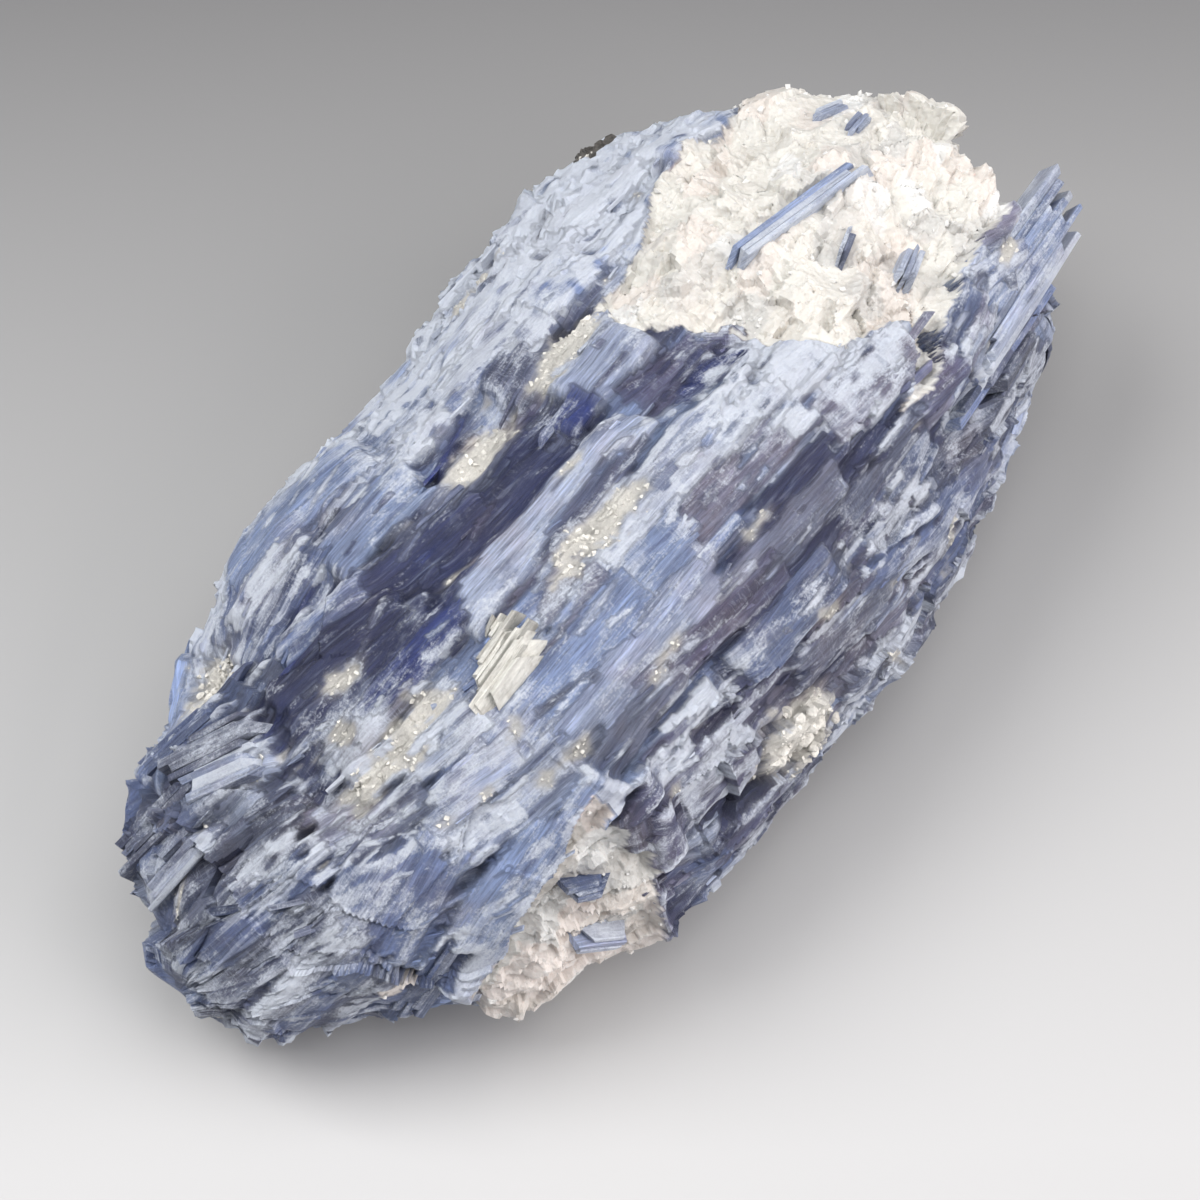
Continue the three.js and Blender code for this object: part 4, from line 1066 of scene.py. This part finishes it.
def add_quartz(relief):
    """The quartz cap and pocket are broken into flat faces of several sizes."""
    at = relief.at
    x, y, z = at[..., 0], at[..., 1], at[..., 2]
    wobble = 0.9 * smooth_noise(x / 2.1, (y + z) / 2.1, 81)
    wobble = wobble + 0.45 * smooth_noise(x / 0.8, (y + z) / 0.8, 83)
    across = relief.across
    sway = smooth_noise((x + 0.6 * y) / 3, (z + 0.8 * y) / 3, 85)
    drift = smooth_noise((x - 0.7 * y) / 3, (z - 0.5 * y) / 3, 89)
    cap = in_cap(x + wobble, y + wobble * 0.8, z)
    pocket = in_pocket(x + wobble, y, z)
    for held, kind, rise, seed in ((cap, CAP, 1.0, 3), (pocket, POCKET, 0.8, 8)):
        crown = x > CROWN_X + sway
        u = np.where(crown, y, x) + 0.4 * sway
        v = np.where(crown, z, across) + 0.4 * drift
        lumps = -facets(u, v, 6.5, 1.3 * rise, 0.28 * rise, seed + 20)
        blocks = facets(v, u, 3.0, 0.22 * rise, 0.34 * rise, seed + 40, cliffs=True)
        level = lumps + blocks + facets(u, v, 1.4, 0.08, 0.36, seed + 60, cliffs=True) * (1 + 0.6 * sway)
        level = np.clip(level - level[held].mean() + 0.1, -2.2, 1.5)
        share = np.clip(2.2 * box_mean(held.astype(float), 2) - 1.0, 0.15, 1)
        relief.height[held] += ((level - relief.height) * share)[held]
        relief.tint[held] = QUARTZ_TINTS[kind]
        relief.kind[held] = kind
        relief.frost[held] = 0
    for x0, y0, x1, y1, width, lift in (c[:6] for name, c in CRYSTALS.items() if name.startswith("cap")):
        gap = relief.near_line(x0, y0, x1, y1)
        over = relief.height - (lift - 0.9 + 0.4 * np.maximum(gap - 0.5 * width - 0.5, 0))
        relief.height -= np.where((gap < 4) & (relief.kind == CAP), np.maximum(over, 0), 0)
    tone = facets(x + sway, across, 3.4, 1.0, 0.0, 95, cliffs=True)
    shades = (
        (tone > 0.62, (0.655, 0.61, 0.57)),
        (tone < -0.6, (0.54, 0.53, 0.51)),
        (np.abs(tone) < 0.14, (0.72, 0.72, 0.71)),
    )
    for share, color in shades:
        relief.tint[share & (relief.kind != BLUE)] = color


def flatten_ends(relief):
    """The relief fades towards the chart's two poles, so they close cleanly, and lies low underneath."""
    relief.height = relief.height * np.clip(relief.reach / POLE_REACH, 0, 1)
    under = relief.out[..., 2] < -0.5
    relief.height = np.where(under, np.minimum(relief.height, UNDER_PROUD), relief.height)


# ---------- materials ----------
class Nodes:
    """A short way to write a material's nodes."""

    def __init__(self, name):
        self.material = bpy.data.materials.new(name)
        self.material.use_nodes = True
        self.tree = self.material.node_tree
        self.tree.nodes.clear()
        self.out = self.tree.nodes.new("ShaderNodeOutputMaterial")
        self.shader = self.tree.nodes.new("ShaderNodeBsdfPrincipled")
        self.tree.links.new(self.shader.outputs[0], self.out.inputs[0])

    def link(self, value, socket):
        if isinstance(value, bpy.types.NodeSocket):
            self.tree.links.new(value, socket)
        else:
            socket.default_value = value

    def attribute(self, name, output):
        node = self.tree.nodes.new("ShaderNodeAttribute")
        node.attribute_name = name
        return node.outputs[output]

    def position(self, scale=(1000, 1000, 1000)):
        place_ = self.tree.nodes.new("ShaderNodeTexCoord").outputs["Object"]
        return self.vector("MULTIPLY", place_, scale)

    def vector(self, operation, a, b):
        node = self.tree.nodes.new("ShaderNodeVectorMath")
        node.operation = operation
        self.link(a, node.inputs[0])
        self.link(b, node.inputs[1])
        return node.outputs[0]

    def separate(self, vector, axis):
        node = self.tree.nodes.new("ShaderNodeSeparateXYZ")
        self.link(vector, node.inputs[0])
        return node.outputs[axis]

    def add(self, a, b):
        return self.math("ADD", a, b)

    def times(self, a, b, clamp=False):
        return self.math("MULTIPLY", a, b, clamp)

    def from_middle(self, value):
        """How far a noise value is from its middle."""
        return self.math("ABSOLUTE", self.math("SUBTRACT", value, 0.5))

    def math(self, operation, a, b=0.0, clamp=False):
        node = self.tree.nodes.new("ShaderNodeMath")
        node.operation = operation
        node.use_clamp = clamp
        self.link(a, node.inputs[0])
        self.link(b, node.inputs[1])
        return node.outputs[0]

    def noise(self, vector, scale, detail=3.0, roughness=0.55, distortion=0.0):
        """Noise at a scale, or with three numbers at a scale for each axis."""
        if isinstance(scale, tuple):
            vector, scale = self.vector("MULTIPLY", vector, scale), 1.0
        node = self.tree.nodes.new("ShaderNodeTexNoise")
        self.link(vector, node.inputs["Vector"])
        node.inputs["Scale"].default_value = scale
        node.inputs["Detail"].default_value = detail
        node.inputs["Roughness"].default_value = roughness
        node.inputs["Distortion"].default_value = distortion
        return node.outputs["Fac"]

    def cells(self, vector, scale):
        node = self.tree.nodes.new("ShaderNodeTexVoronoi")
        self.link(vector, node.inputs["Vector"])
        node.inputs["Scale"].default_value = scale
        return node.outputs["Distance"]

    def remap(self, value, low, high, to_low=0.0, to_high=1.0):
        node = self.tree.nodes.new("ShaderNodeMapRange")
        self.link(value, node.inputs["Value"])
        for name, number in (("From Min", low), ("From Max", high), ("To Min", to_low), ("To Max", to_high)):
            node.inputs[name].default_value = number
        return node.outputs[0]

    def mix(self, share, a, b, blend="MIX"):
        node = self.tree.nodes.new("ShaderNodeMix")
        node.data_type = "RGBA"
        node.blend_type = blend
        self.link(share, node.inputs[0])
        for value, socket in ((a, node.inputs[6]), (b, node.inputs[7])):
            self.link((*value, 1.0) if isinstance(value, tuple) else value, socket)
        return node.outputs[2]

    def bump(self, height, distance, strength, normal=None):
        node = self.tree.nodes.new("ShaderNodeBump")
        node.inputs["Distance"].default_value = distance
        node.inputs["Strength"].default_value = strength
        self.link(height, node.inputs["Height"])
        if normal is not None:
            self.link(normal, node.inputs["Normal"])
        return node.outputs[0]

    def set(self, **sockets):
        """Links a node to each named socket of the shader, or sets the socket's own value."""
        for name, value in sockets.items():
            self.link(value, self.shader.inputs[name.replace("_", " ")])


def kyanite_material():
    n = Nodes("kyanite_blades")
    tint = n.attribute("tint", "Color")
    frost = n.attribute("frost", "Fac")
    grit = n.attribute("grit", "Fac")
    grain = n.attribute("grain", "Vector")
    spot = n.position()
    striae = n.noise(grain, (0.22, 4.8, 2.3), 7.0, 0.72, 0.4)
    bands = n.noise(grain, (0.13, 1.1, 1.7), 4.0, 0.6, 0.5)
    gleams = n.noise(grain, (0.17, 1.7, 4.9), 5.0, 0.65, 0.4)
    flakes = n.noise(grain, (0.9, 3.4, 3.1), 8.0, 0.76, 0.6)
    parting = n.noise(grain, (1.5, 0.35, 6.1), 3.0, 0.5, 0.3)
    speck = n.noise(spot, 4.0, 6.0, 0.8)
    cloud = n.noise(spot, 0.24, 5.0, 0.65)
    drift = n.noise(grain, (0.16, 0.45, 0.8), 5.0, 0.62, 0.8)
    warmth = n.noise(spot, 0.13, 4.0, 0.6)
    sugar = n.cells(spot, 2.4)
    # the blade's own blue, with dark bands and pale gleams along it
    color = n.mix(1.0, tint, n.remap(striae, 0.3, 0.7, 0.45, 1.65), "MULTIPLY")
    color = n.mix(n.remap(bands, 0.5, 0.66, 0.0, 0.6), color, (0.04, 0.052, 0.13))
    color = n.mix(n.remap(gleams, 0.53, 0.72, 0.0, 0.5), color, (0.30, 0.35, 0.50))
    haze = n.remap(n.add(cloud, n.times(frost, 0.24)), 0.58, 0.84, 0.0, 0.6)
    color = n.mix(haze, color, (0.38, 0.43, 0.56))
    color = n.mix(n.remap(warmth, 0.5, 0.7, 0.0, 0.8), color, (1.16, 0.98, 0.88), "MULTIPLY")
    # white along the cross partings, then flakes and dust where there is frost
    split = n.times(n.remap(n.from_middle(parting), 0.0, 0.02, 0.6, 0.0), frost, clamp=True)
    color = n.mix(split, color, (0.60, 0.65, 0.76))
    dust = n.add(n.times(flakes, 0.5), n.times(speck, 0.5))
    dust = n.add(dust, n.times(n.math("MINIMUM", frost, 0.95), 0.17))
    patchy = n.math("SUBTRACT", n.add(cloud, drift), 1.0)
    dust = n.add(dust, n.times(patchy, 0.5))
    white = n.remap(dust, 0.575, 0.735, 0.0, 0.95)
    chalky = n.remap(n.add(frost, n.times(striae, 1.4)), 1.2, 2.05, 0.0, 0.8)
    color = n.mix(chalky, color, (0.75, 0.795, 0.89))
    color = n.mix(white, color, n.mix(speck, (0.53, 0.605, 0.755), (0.86, 0.885, 0.93)))
    # cream grains in the seams
    crumbs = n.mix(1.0, tint, n.remap(speck, 0.3, 0.72, 0.84, 1.22), "MULTIPLY")
    crumbs = n.mix(n.remap(sugar, 0.0, 0.3, 0.25, 0.0), crumbs, (0.36, 0.32, 0.28))
    color = n.mix(grit, color, crumbs)
    n.set(Base_Color=color)
    rough = n.add(n.remap(striae, 0.3, 0.7, 0.28, 0.48), n.times(white, 0.3))
    n.set(Roughness=n.math("MAXIMUM", rough, n.times(grit, 0.62)))
    n.set(IOR=1.55, Specular_IOR_Level=0.5)
    fine = n.bump(striae, 0.00030, 0.9)
    fine = n.bump(flakes, 0.00020, 0.6, fine)
    n.set(Normal=n.bump(speck, 0.00022, 0.8, fine))
    return n.material


def quartz_material():
    n = Nodes("milky_quartz")
    tint = n.attribute("tint", "Color")
    spot = n.position()
    cloud = n.noise(spot, 0.16, 4.0, 0.6)
    stain = n.noise(spot, 0.33, 4.0, 0.65)
    sugar = n.noise(spot, 2.0, 5.0, 0.7)
    veins = n.from_middle(n.noise(spot, 0.30, 5.0, 0.6, 0.6))
    color = n.mix(n.remap(cloud, 0.5, 0.7, 0.0, 0.45), tint, (0.66, 0.60, 0.545))
    color = n.mix(n.remap(stain, 0.56, 0.76, 0.0, 0.6), color, (0.50, 0.46, 0.42))
    color = n.mix(n.remap(sugar, 0.5, 0.7, 0.0, 0.55), color, (0.75, 0.75, 0.74))
    color = n.mix(n.remap(veins, 0.0, 0.012, 0.45, 0.0), color, (0.50, 0.46, 0.42))
    n.set(Base_Color=color, Roughness=n.remap(sugar, 0.3, 0.7, 0.28, 0.62))
    n.set(Subsurface_Weight=0.25, Subsurface_Radius=(1.0, 0.9, 0.8), Subsurface_Scale=0.0012, IOR=1.54)
    rough = n.bump(n.cells(spot, 1.3), 0.00030, 0.6)
    n.set(Normal=n.bump(sugar, 0.00022, 0.8, rough))
    return n.material


def grain_material():
    n = Nodes("cream_grains")
    tint = n.attribute("tint", "Color")
    spot = n.position()
    sugar = n.noise(spot, 2.4, 4.0, 0.7)
    stain = n.noise(spot, 0.5, 3.0, 0.6)
    color = n.mix(1.0, tint, n.remap(sugar, 0.3, 0.7, 0.75, 1.2), "MULTIPLY")
    color = n.mix(n.remap(stain, 0.6, 0.8, 0.0, 0.3), color, TAN)
    n.set(Base_Color=color, Roughness=n.remap(sugar, 0.3, 0.7, 0.35, 0.7))
    n.set(Normal=n.bump(sugar, 0.00015, 0.8))
    return n.material


def mica_material():
    n = Nodes("pale_mica")
    tint = n.attribute("tint", "Color")
    grain = n.attribute("grain", "Vector")
    spot = n.position()
    striae = n.noise(grain, (0.5, 3.5, 2.0), 5.0, 0.65)
    stain = n.noise(spot, 0.7, 4.0, 0.65)
    speck = n.noise(spot, 2.6, 5.0, 0.7)
    color = n.mix(1.0, tint, n.remap(striae, 0.3, 0.7, 0.72, 1.25), "MULTIPLY")
    color = n.mix(n.remap(stain, 0.5, 0.75, 0.0, 0.7), color, (0.34, 0.31, 0.27))
    color = n.mix(n.remap(speck, 0.55, 0.75, 0.0, 0.6), color, (0.82, 0.82, 0.80))
    n.set(Base_Color=color, Roughness=n.remap(striae, 0.3, 0.7, 0.2, 0.42))
    n.set(Normal=n.bump(speck, 0.00016, 0.7, n.bump(striae, 0.00022, 0.8)))
    return n.material


def black_material():
    n = Nodes("black_mineral")
    spot = n.position()
    speck = n.noise(spot, 2.4, 5.0, 0.7)
    color = n.mix(n.remap(speck, 0.35, 0.7), (0.018, 0.017, 0.016), (0.11, 0.10, 0.09))
    n.set(Base_Color=color, Roughness=n.remap(speck, 0.3, 0.7, 0.2, 0.5))
    n.set(Normal=n.bump(speck, 0.0002, 0.8))
    return n.material


def floor_material():
    n = Nodes("floor_painted_falloff")
    spot = n.position((1, 1, 1))
    far = n.add(n.separate(spot, 0), n.separate(spot, 1))
    mottle = n.noise(spot, 3.0, 2.0)
    # Painted falloff of light: the floor darkens from pale at the near corner to dark grey towards +x and +y,
    # away from the camera.
    color = n.mix(n.remap(far, -0.07, 0.13), (0.485, 0.485, 0.49), (0.125, 0.125, 0.128))
    n.set(Base_Color=color, Roughness=n.remap(mottle, 0.3, 0.7, 0.6, 0.7))
    return n.material


# ---------- assembly ----------
def sector(relief, low, high):
    """Cells whose angle lies between two values in degrees, which may pass through zero."""
    turn = np.degrees(relief.angle)
    held = (turn >= low) & (turn < high) if low < high else (turn >= low) | (turn < high)
    return np.broadcast_to(held, (len(relief.x) - 1, len(relief.angle)))


def finish_piece(piece, slot, *nodes):
    """Every piece rides on the one body, and stands in for these nodes of the model."""
    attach(piece, "root")
    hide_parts(*nodes)


BLADE_EDGE, QUARTZ_EDGE = 32, 11  # edges turn sharp past these angles, in degrees


def build_rock(relief, kyanite, quartz):
    kind = relief.kind[:-1]
    sectors = {
        "kyanite_back": (8, 66), "kyanite_top": (66, 108), "kyanite_front": (108, 152),
        "kyanite_front_foot": (152, 208), "kyanite_underside": (208, 8),
    }
    for name, (low, high) in sectors.items():
        cells = sector(relief, low, high) & (kind == BLUE)
        finish_piece(surface_piece(relief, name, cells, kyanite, BLADE_EDGE), "kyanite", "kyanite_mass")
    for node, own in (("quartz_cap", CAP), ("quartz_pocket", POCKET)):
        piece = surface_piece(relief, node + "_mass", kind == own, quartz, QUARTZ_EDGE)
        finish_piece(piece, "quartz", node)


# Single crystals, on the CAD model's lines: from x, from y, to x, to y, width, lift, roll, style, kind.
CRYSTALS = {
    "cap_blade": (20.4, 1.8, 37.6, 1.2, 1.7, 1.7, 0, "chalk", "crystal"),
    "cap_splinter_1": (39.6, 9.4, 44.6, 8.8, 1.2, 0.7, 0, "pale", "crystal"),
    "cap_splinter_2": (40, 5.4, 43.8, 6.4, 1.4, 0.6, 10, "pale", "crystal"),
    "cap_splinter_3": (29.6, -9.2, 34, -7.4, 1.6, 0.7, 0, "pale", "crystal"),
    "cap_splinter_4": (26.6, -4.6, 31.2, -2.6, 0.9, 0.6, 0, "slate", "crystal"),
    "pocket_blade_1": (-26.5, -22.8, -22.4, -25, 1.5, 0.4, 0, "mid", "crystal"),
    "pocket_blade_2": (-27.5, -24.6, -23, -26.8, 1.6, 0.4, 0, "pale", "crystal"),
}
MICA_BOOK = (-24.4, -9.4, -14.5, -8.4, 3.6, 2.5, -14)
MICA_SHEETS = 14
MICA = (0.62, 0.61, 0.57)
STANDING_TO = -38  # the fibres of the low end up to this x stand free over the fanned plate
SPLINTERS_TO = 42  # no loose splinters past this x, where the rock turns over its end
SPARE = 0.6  # how far a loose splinter may reach past the model's box


def free_laths(relief, count, lengths, widths, rng):
    """Splinters that spring from the surface at a low angle."""
    x, angle = strewn(LOW_END + 1, TOP_END - 4, count, rng)
    at, out, (i, j) = relief.surface(x, angle)
    keep = (relief.kind[i, j] == BLUE) & (relief.grit[i, j] == 0) & (out[:, 2] > -0.7) & (x < SPLINTERS_TO)
    x, angle, at, i, j = x[keep], angle[keep], at[keep], i[keep], j[keep]
    count = len(x)
    out = tangents(x, angle)[2]
    way = run_of(at, out, np.radians(rng.normal(0, 7, count)))
    way = way * rng.choice([-1, 1], count)[:, None]
    way = unit(way + out * np.tan(np.radians(rng.uniform(-1, 2.5, count)))[:, None])
    length = rng.uniform(*lengths, count)
    start = at - way * (length * 0.35)[:, None] - out * 0.1
    end = at + way * (length * 0.65)[:, None] - out * 0.1
    tint = relief.tint[i, j] * np.exp(rng.normal(0.1, 0.25, (count, 1)))
    frost = relief.frost[i, j] * rng.uniform(0.6, 1.5, count)
    low, high = (np.array(v) / MM for v in CAD_BOX)
    held = np.all([(p > low - SPARE) & (p < high + SPARE) for p in (start, end)], axis=(0, 2))
    batch = lath_batch(start, end, out + rng.normal(0, 0.2, (count, 3)), rng.uniform(*widths, count),
                       rng.uniform(0.3, 0.8, count), tint, frost, rng, taper=0.4)
    return {key: value[held] for key, value in batch.items()}


def build_crystals(relief, material, rng):
    for name, (x0, y0, x1, y1, width, lift, roll, style, kind) in CRYSTALS.items():
        start, end, up = blade_frame(x0, y0, x1, y1, roll)
        batch = laths_of(start + up * lift, end + up * lift, up, width, 2.0, kind, style, rng)
        finish_piece(lath_mesh(name + "_laths", batch, material), "kyanite", name)
    batches = []
    for style, x0, y0, z0, x1, y1, z1, width, roll in HORN_BLADES:
        turn = math.radians(roll)
        up = np.array([0, -math.sin(turn), math.cos(turn)])
        start, end = np.array([x0, y0, z0], float), np.array([x1, y1, z1], float)
        batches.append(laths_of(start, end, up, width, 3.2, "fibre", style, rng, stray=0.3))
    for style, x0, y0, x1, y1, width, lift, roll, kind in BLADES:
        if kind == "fibre" and x0 < STANDING_TO:
            start, end, up = blade_frame(x0, y0, x1, y1, roll)
            batches.append(laths_of(start + up * lift, end + up * lift, up, width, 2.6, kind, style, rng))
    finish_piece(lath_mesh("kyanite_standing_blades", joined(batches), material), "kyanite", "kyanite_mass")
    free = joined([
        free_laths(relief, 420, (2.5, 7), (0.3, 0.9), rng),
        free_laths(relief, 1600, (1, 3), (0.12, 0.4), rng),
    ])
    finish_piece(lath_mesh("kyanite_splinters", free, material), "kyanite", "kyanite_mass")


def build_mica(rng, material):
    """A book of cleavage sheets seen on edge, which narrows to a point at its lower end."""
    x0, y0, x1, y1, width, lift, roll = MICA_BOOK
    start, end, up = blade_frame(x0, y0, x1, y1, roll)
    along, length = unit(end - start), np.linalg.norm(end - start)
    across = unit(np.cross(up, along))
    side = np.linspace(-0.5, 0.5, MICA_SHEETS) + rng.normal(0, 0.015, MICA_SHEETS)
    near = length * (0.04 + 0.75 * np.abs(side + 0.3) + rng.uniform(0, 0.08, MICA_SHEETS))
    far = length * (1 - rng.uniform(0, 0.3, MICA_SHEETS))
    level = lift - 0.5 + rng.normal(0, 0.12, MICA_SHEETS) - 0.5 * np.abs(side)
    base = start + across * (side * width)[:, None] + up * level[:, None]
    ups = up + across * rng.normal(0.35, 0.25, (MICA_SHEETS, 1))
    tint = np.array(MICA) * rng.uniform(0.62, 1.15, (MICA_SHEETS, 1))
    batch = lath_batch(
        base + along * near[:, None], base + along * far[:, None] + up * 0.2, ups,
        width / MICA_SHEETS * rng.uniform(1.1, 2.2, MICA_SHEETS), np.full(MICA_SHEETS, 2.4), tint,
        np.zeros(MICA_SHEETS), rng, taper=0.45,
    )
    finish_piece(lath_mesh("mica_sheets", batch, material), "mica", "mica_book")


def build_black(relief, rng, material):
    """Black mineral: small broken plates bedded together."""
    centres = on_relief(relief, relief.beds["black_mineral"], 75, 0.05, rng)
    sizes = rng.uniform(0.3, 1.5, len(centres))
    tint = np.tile([CREAM], (len(centres), 1))  # the black material doesn't read it
    piece = broken_crystals("black_mineral_grains", centres, sizes, material, rng, tint, flat=0.3)
    finish_piece(piece, "black_mineral", "black_mineral")


def on_relief(relief, held, count, sink, rng):
    """Places spread over the marked cells of the relief, a little below its surface."""
    i, j = np.nonzero(held)
    pick = rng.integers(0, len(i), count)
    i, j = i[pick], j[pick]
    return relief.at[i, j] + relief.out[i, j] * (relief.height[i, j] - sink)[:, None]


def shaded(color, low, high, count, rng):
    """A color for each of a number of grains, some lighter and some darker."""
    return np.array(color) * rng.uniform(low, high, (count, 1))


def build_grains(relief, quartz, cream, rng):
    lumps = {"quartz_nugget": (50, 0.3, 1.5), "quartz_cavity": (50, 0.3, 1.2)}
    lumps.update({f"quartz_lens_{k}": (40, 0.15, 0.8) for k in (1, 2, 3)})
    for name, (count, least, most) in lumps.items():
        centres = on_relief(relief, relief.beds[name], count, 0.2, rng)
        sizes = least + (most - least) * rng.random(count) ** 2
        tint = shaded(CREAM, 0.82, 1.12, count, rng)
        finish_piece(broken_crystals(name + "_grains", centres, sizes, cream, rng, tint), "quartz", name)
    centres = on_relief(relief, relief.kind != BLUE, 900, 0.03, rng)
    sizes = 0.12 + 0.45 * rng.random(len(centres)) ** 3
    tint = shaded((0.78, 0.77, 0.75), 0.85, 1.1, len(centres), rng)
    crumbs = grain_mesh("quartz_crumbs", centres, sizes, quartz, rng, tint)
    finish_piece(crumbs, "quartz", "quartz_cap", "quartz_pocket")
    centres = on_relief(relief, (relief.grit > 0.6) & (relief.kind == BLUE), 1500, 0.05, rng)
    sizes = 0.10 + 0.32 * rng.random(len(centres)) ** 3
    tint = shaded(CREAM, 0.8, 1.12, len(centres), rng)
    finish_piece(grain_mesh("seam_crumbs", centres, sizes, cream, rng, tint), "quartz", "kyanite_mass")


SEEDS = {"relief": 41, "crystals": 5, "grains": 6, "mica": 7, "black": 8}


def make_relief():
    """The finished relief: wide slabs first, then blades, the named blades, fine splinters and the quartz."""
    rng = np.random.default_rng(SEEDS["relief"])
    relief = Relief()
    slabs, blades, splinters = ("slab", "slab", "plate"), ("plate", "long", "fibre"), ("splinter",)
    lay_scattered(relief, 620, (14, 36), (3, 8), (-1.1, -0.35), slabs, rng, tilt=6, spread=0.15)
    lay_scattered(relief, 760, (7, 22), (1.2, 4.0), (-0.9, -0.15), blades, rng, tilt=6)
    lay_named(relief, rng)
    lay_scattered(relief, 1100, (1.5, 8), (0.3, 1.1), (-0.05, 0.06), splinters, rng, swing=7, on_top=True)
    add_infill(relief)
    weather_and_painted_shade(relief)
    add_quartz(relief)
    flatten_ends(relief)
    return relief


kyanite = kyanite_material()
quartz = quartz_material()
cream = grain_material()
relief = make_relief()
build_rock(relief, kyanite, quartz)

build_crystals(relief, kyanite, np.random.default_rng(SEEDS["crystals"]))
build_grains(relief, quartz, cream, np.random.default_rng(SEEDS["grains"]))
build_mica(np.random.default_rng(SEEDS["mica"]), mica_material())
build_black(relief, np.random.default_rng(SEEDS["black"]), black_material())

# ---------- floor, light and camera ----------
def stage_floor():
    size = 1.5  # half the floor's width, in metres
    mesh = bpy.data.meshes.new("floor")
    corners = [(-size, -size, 0), (size, -size, 0), (size, size, 0), (-size, size, 0)]
    mesh.from_pydata(corners, [], [(0, 1, 2, 3)])
    mesh.materials.append(floor_material())
    add_object("floor", mesh)


def aim(thing, right, back, where):
    """Stands a light or a camera at a place, looking away from back."""
    up = np.cross(back, right)
    thing.matrix_world = Matrix([[right[i], up[i], back[i], where[i]] for i in range(3)] + [[0, 0, 0, 1]])


def area_light(name, where, target, size, energy, color):
    light = bpy.data.lights.new(name, "AREA")
    light.size, light.energy, light.color = size, energy, color
    back = unit(np.array(where, float) - np.array(target, float))
    aim(add_object(name, light), unit(np.cross([0.0, 0.01, 1.0], back)), back, where)


CAMERA_AZIMUTH, CAMERA_ELEVATION, CAMERA_DISTANCE, LENS = -47.0, 60.0, 0.245, 85.0
CAMERA_TARGET = np.array([-2.0, -4.0, 14.0]) * MM


def make_camera():
    a, e = math.radians(CAMERA_AZIMUTH), math.radians(CAMERA_ELEVATION)
    back = np.array([math.sin(a) * math.cos(e), -math.cos(a) * math.cos(e), math.sin(e)])
    right = np.array([math.cos(a), math.sin(a), 0.0])
    data = bpy.data.cameras.new("camera")
    data.lens, data.sensor_width = LENS, 36.0
    data.clip_start = 0.01
    camera = add_object("camera", data)
    aim(camera, right, back, CAMERA_TARGET + back * CAMERA_DISTANCE)
    bpy.context.scene.camera = camera


stage_floor()
area_light("key", (-0.22, 0.34, 0.62), (0, 0, 0.02), 0.4, 4.4, (1.0, 0.99, 0.97))
area_light("overhead", (0.12, -0.12, 0.75), (0, 0, 0.02), 0.6, 3.5, (1.0, 0.99, 0.98))
area_light("front", (0.30, -0.55, 0.34), (0, 0, 0.015), 0.6, 4.4, (1.0, 0.95, 0.93))
world = bpy.data.worlds.new("studio")
world.use_nodes = True
background = world.node_tree.nodes["Background"].inputs
background["Color"].default_value = (0.93, 0.95, 1.0, 1)
background["Strength"].default_value = 0.28
bpy.context.scene.world = world
bpy.context.scene.view_settings.view_transform = "Standard"
make_camera()
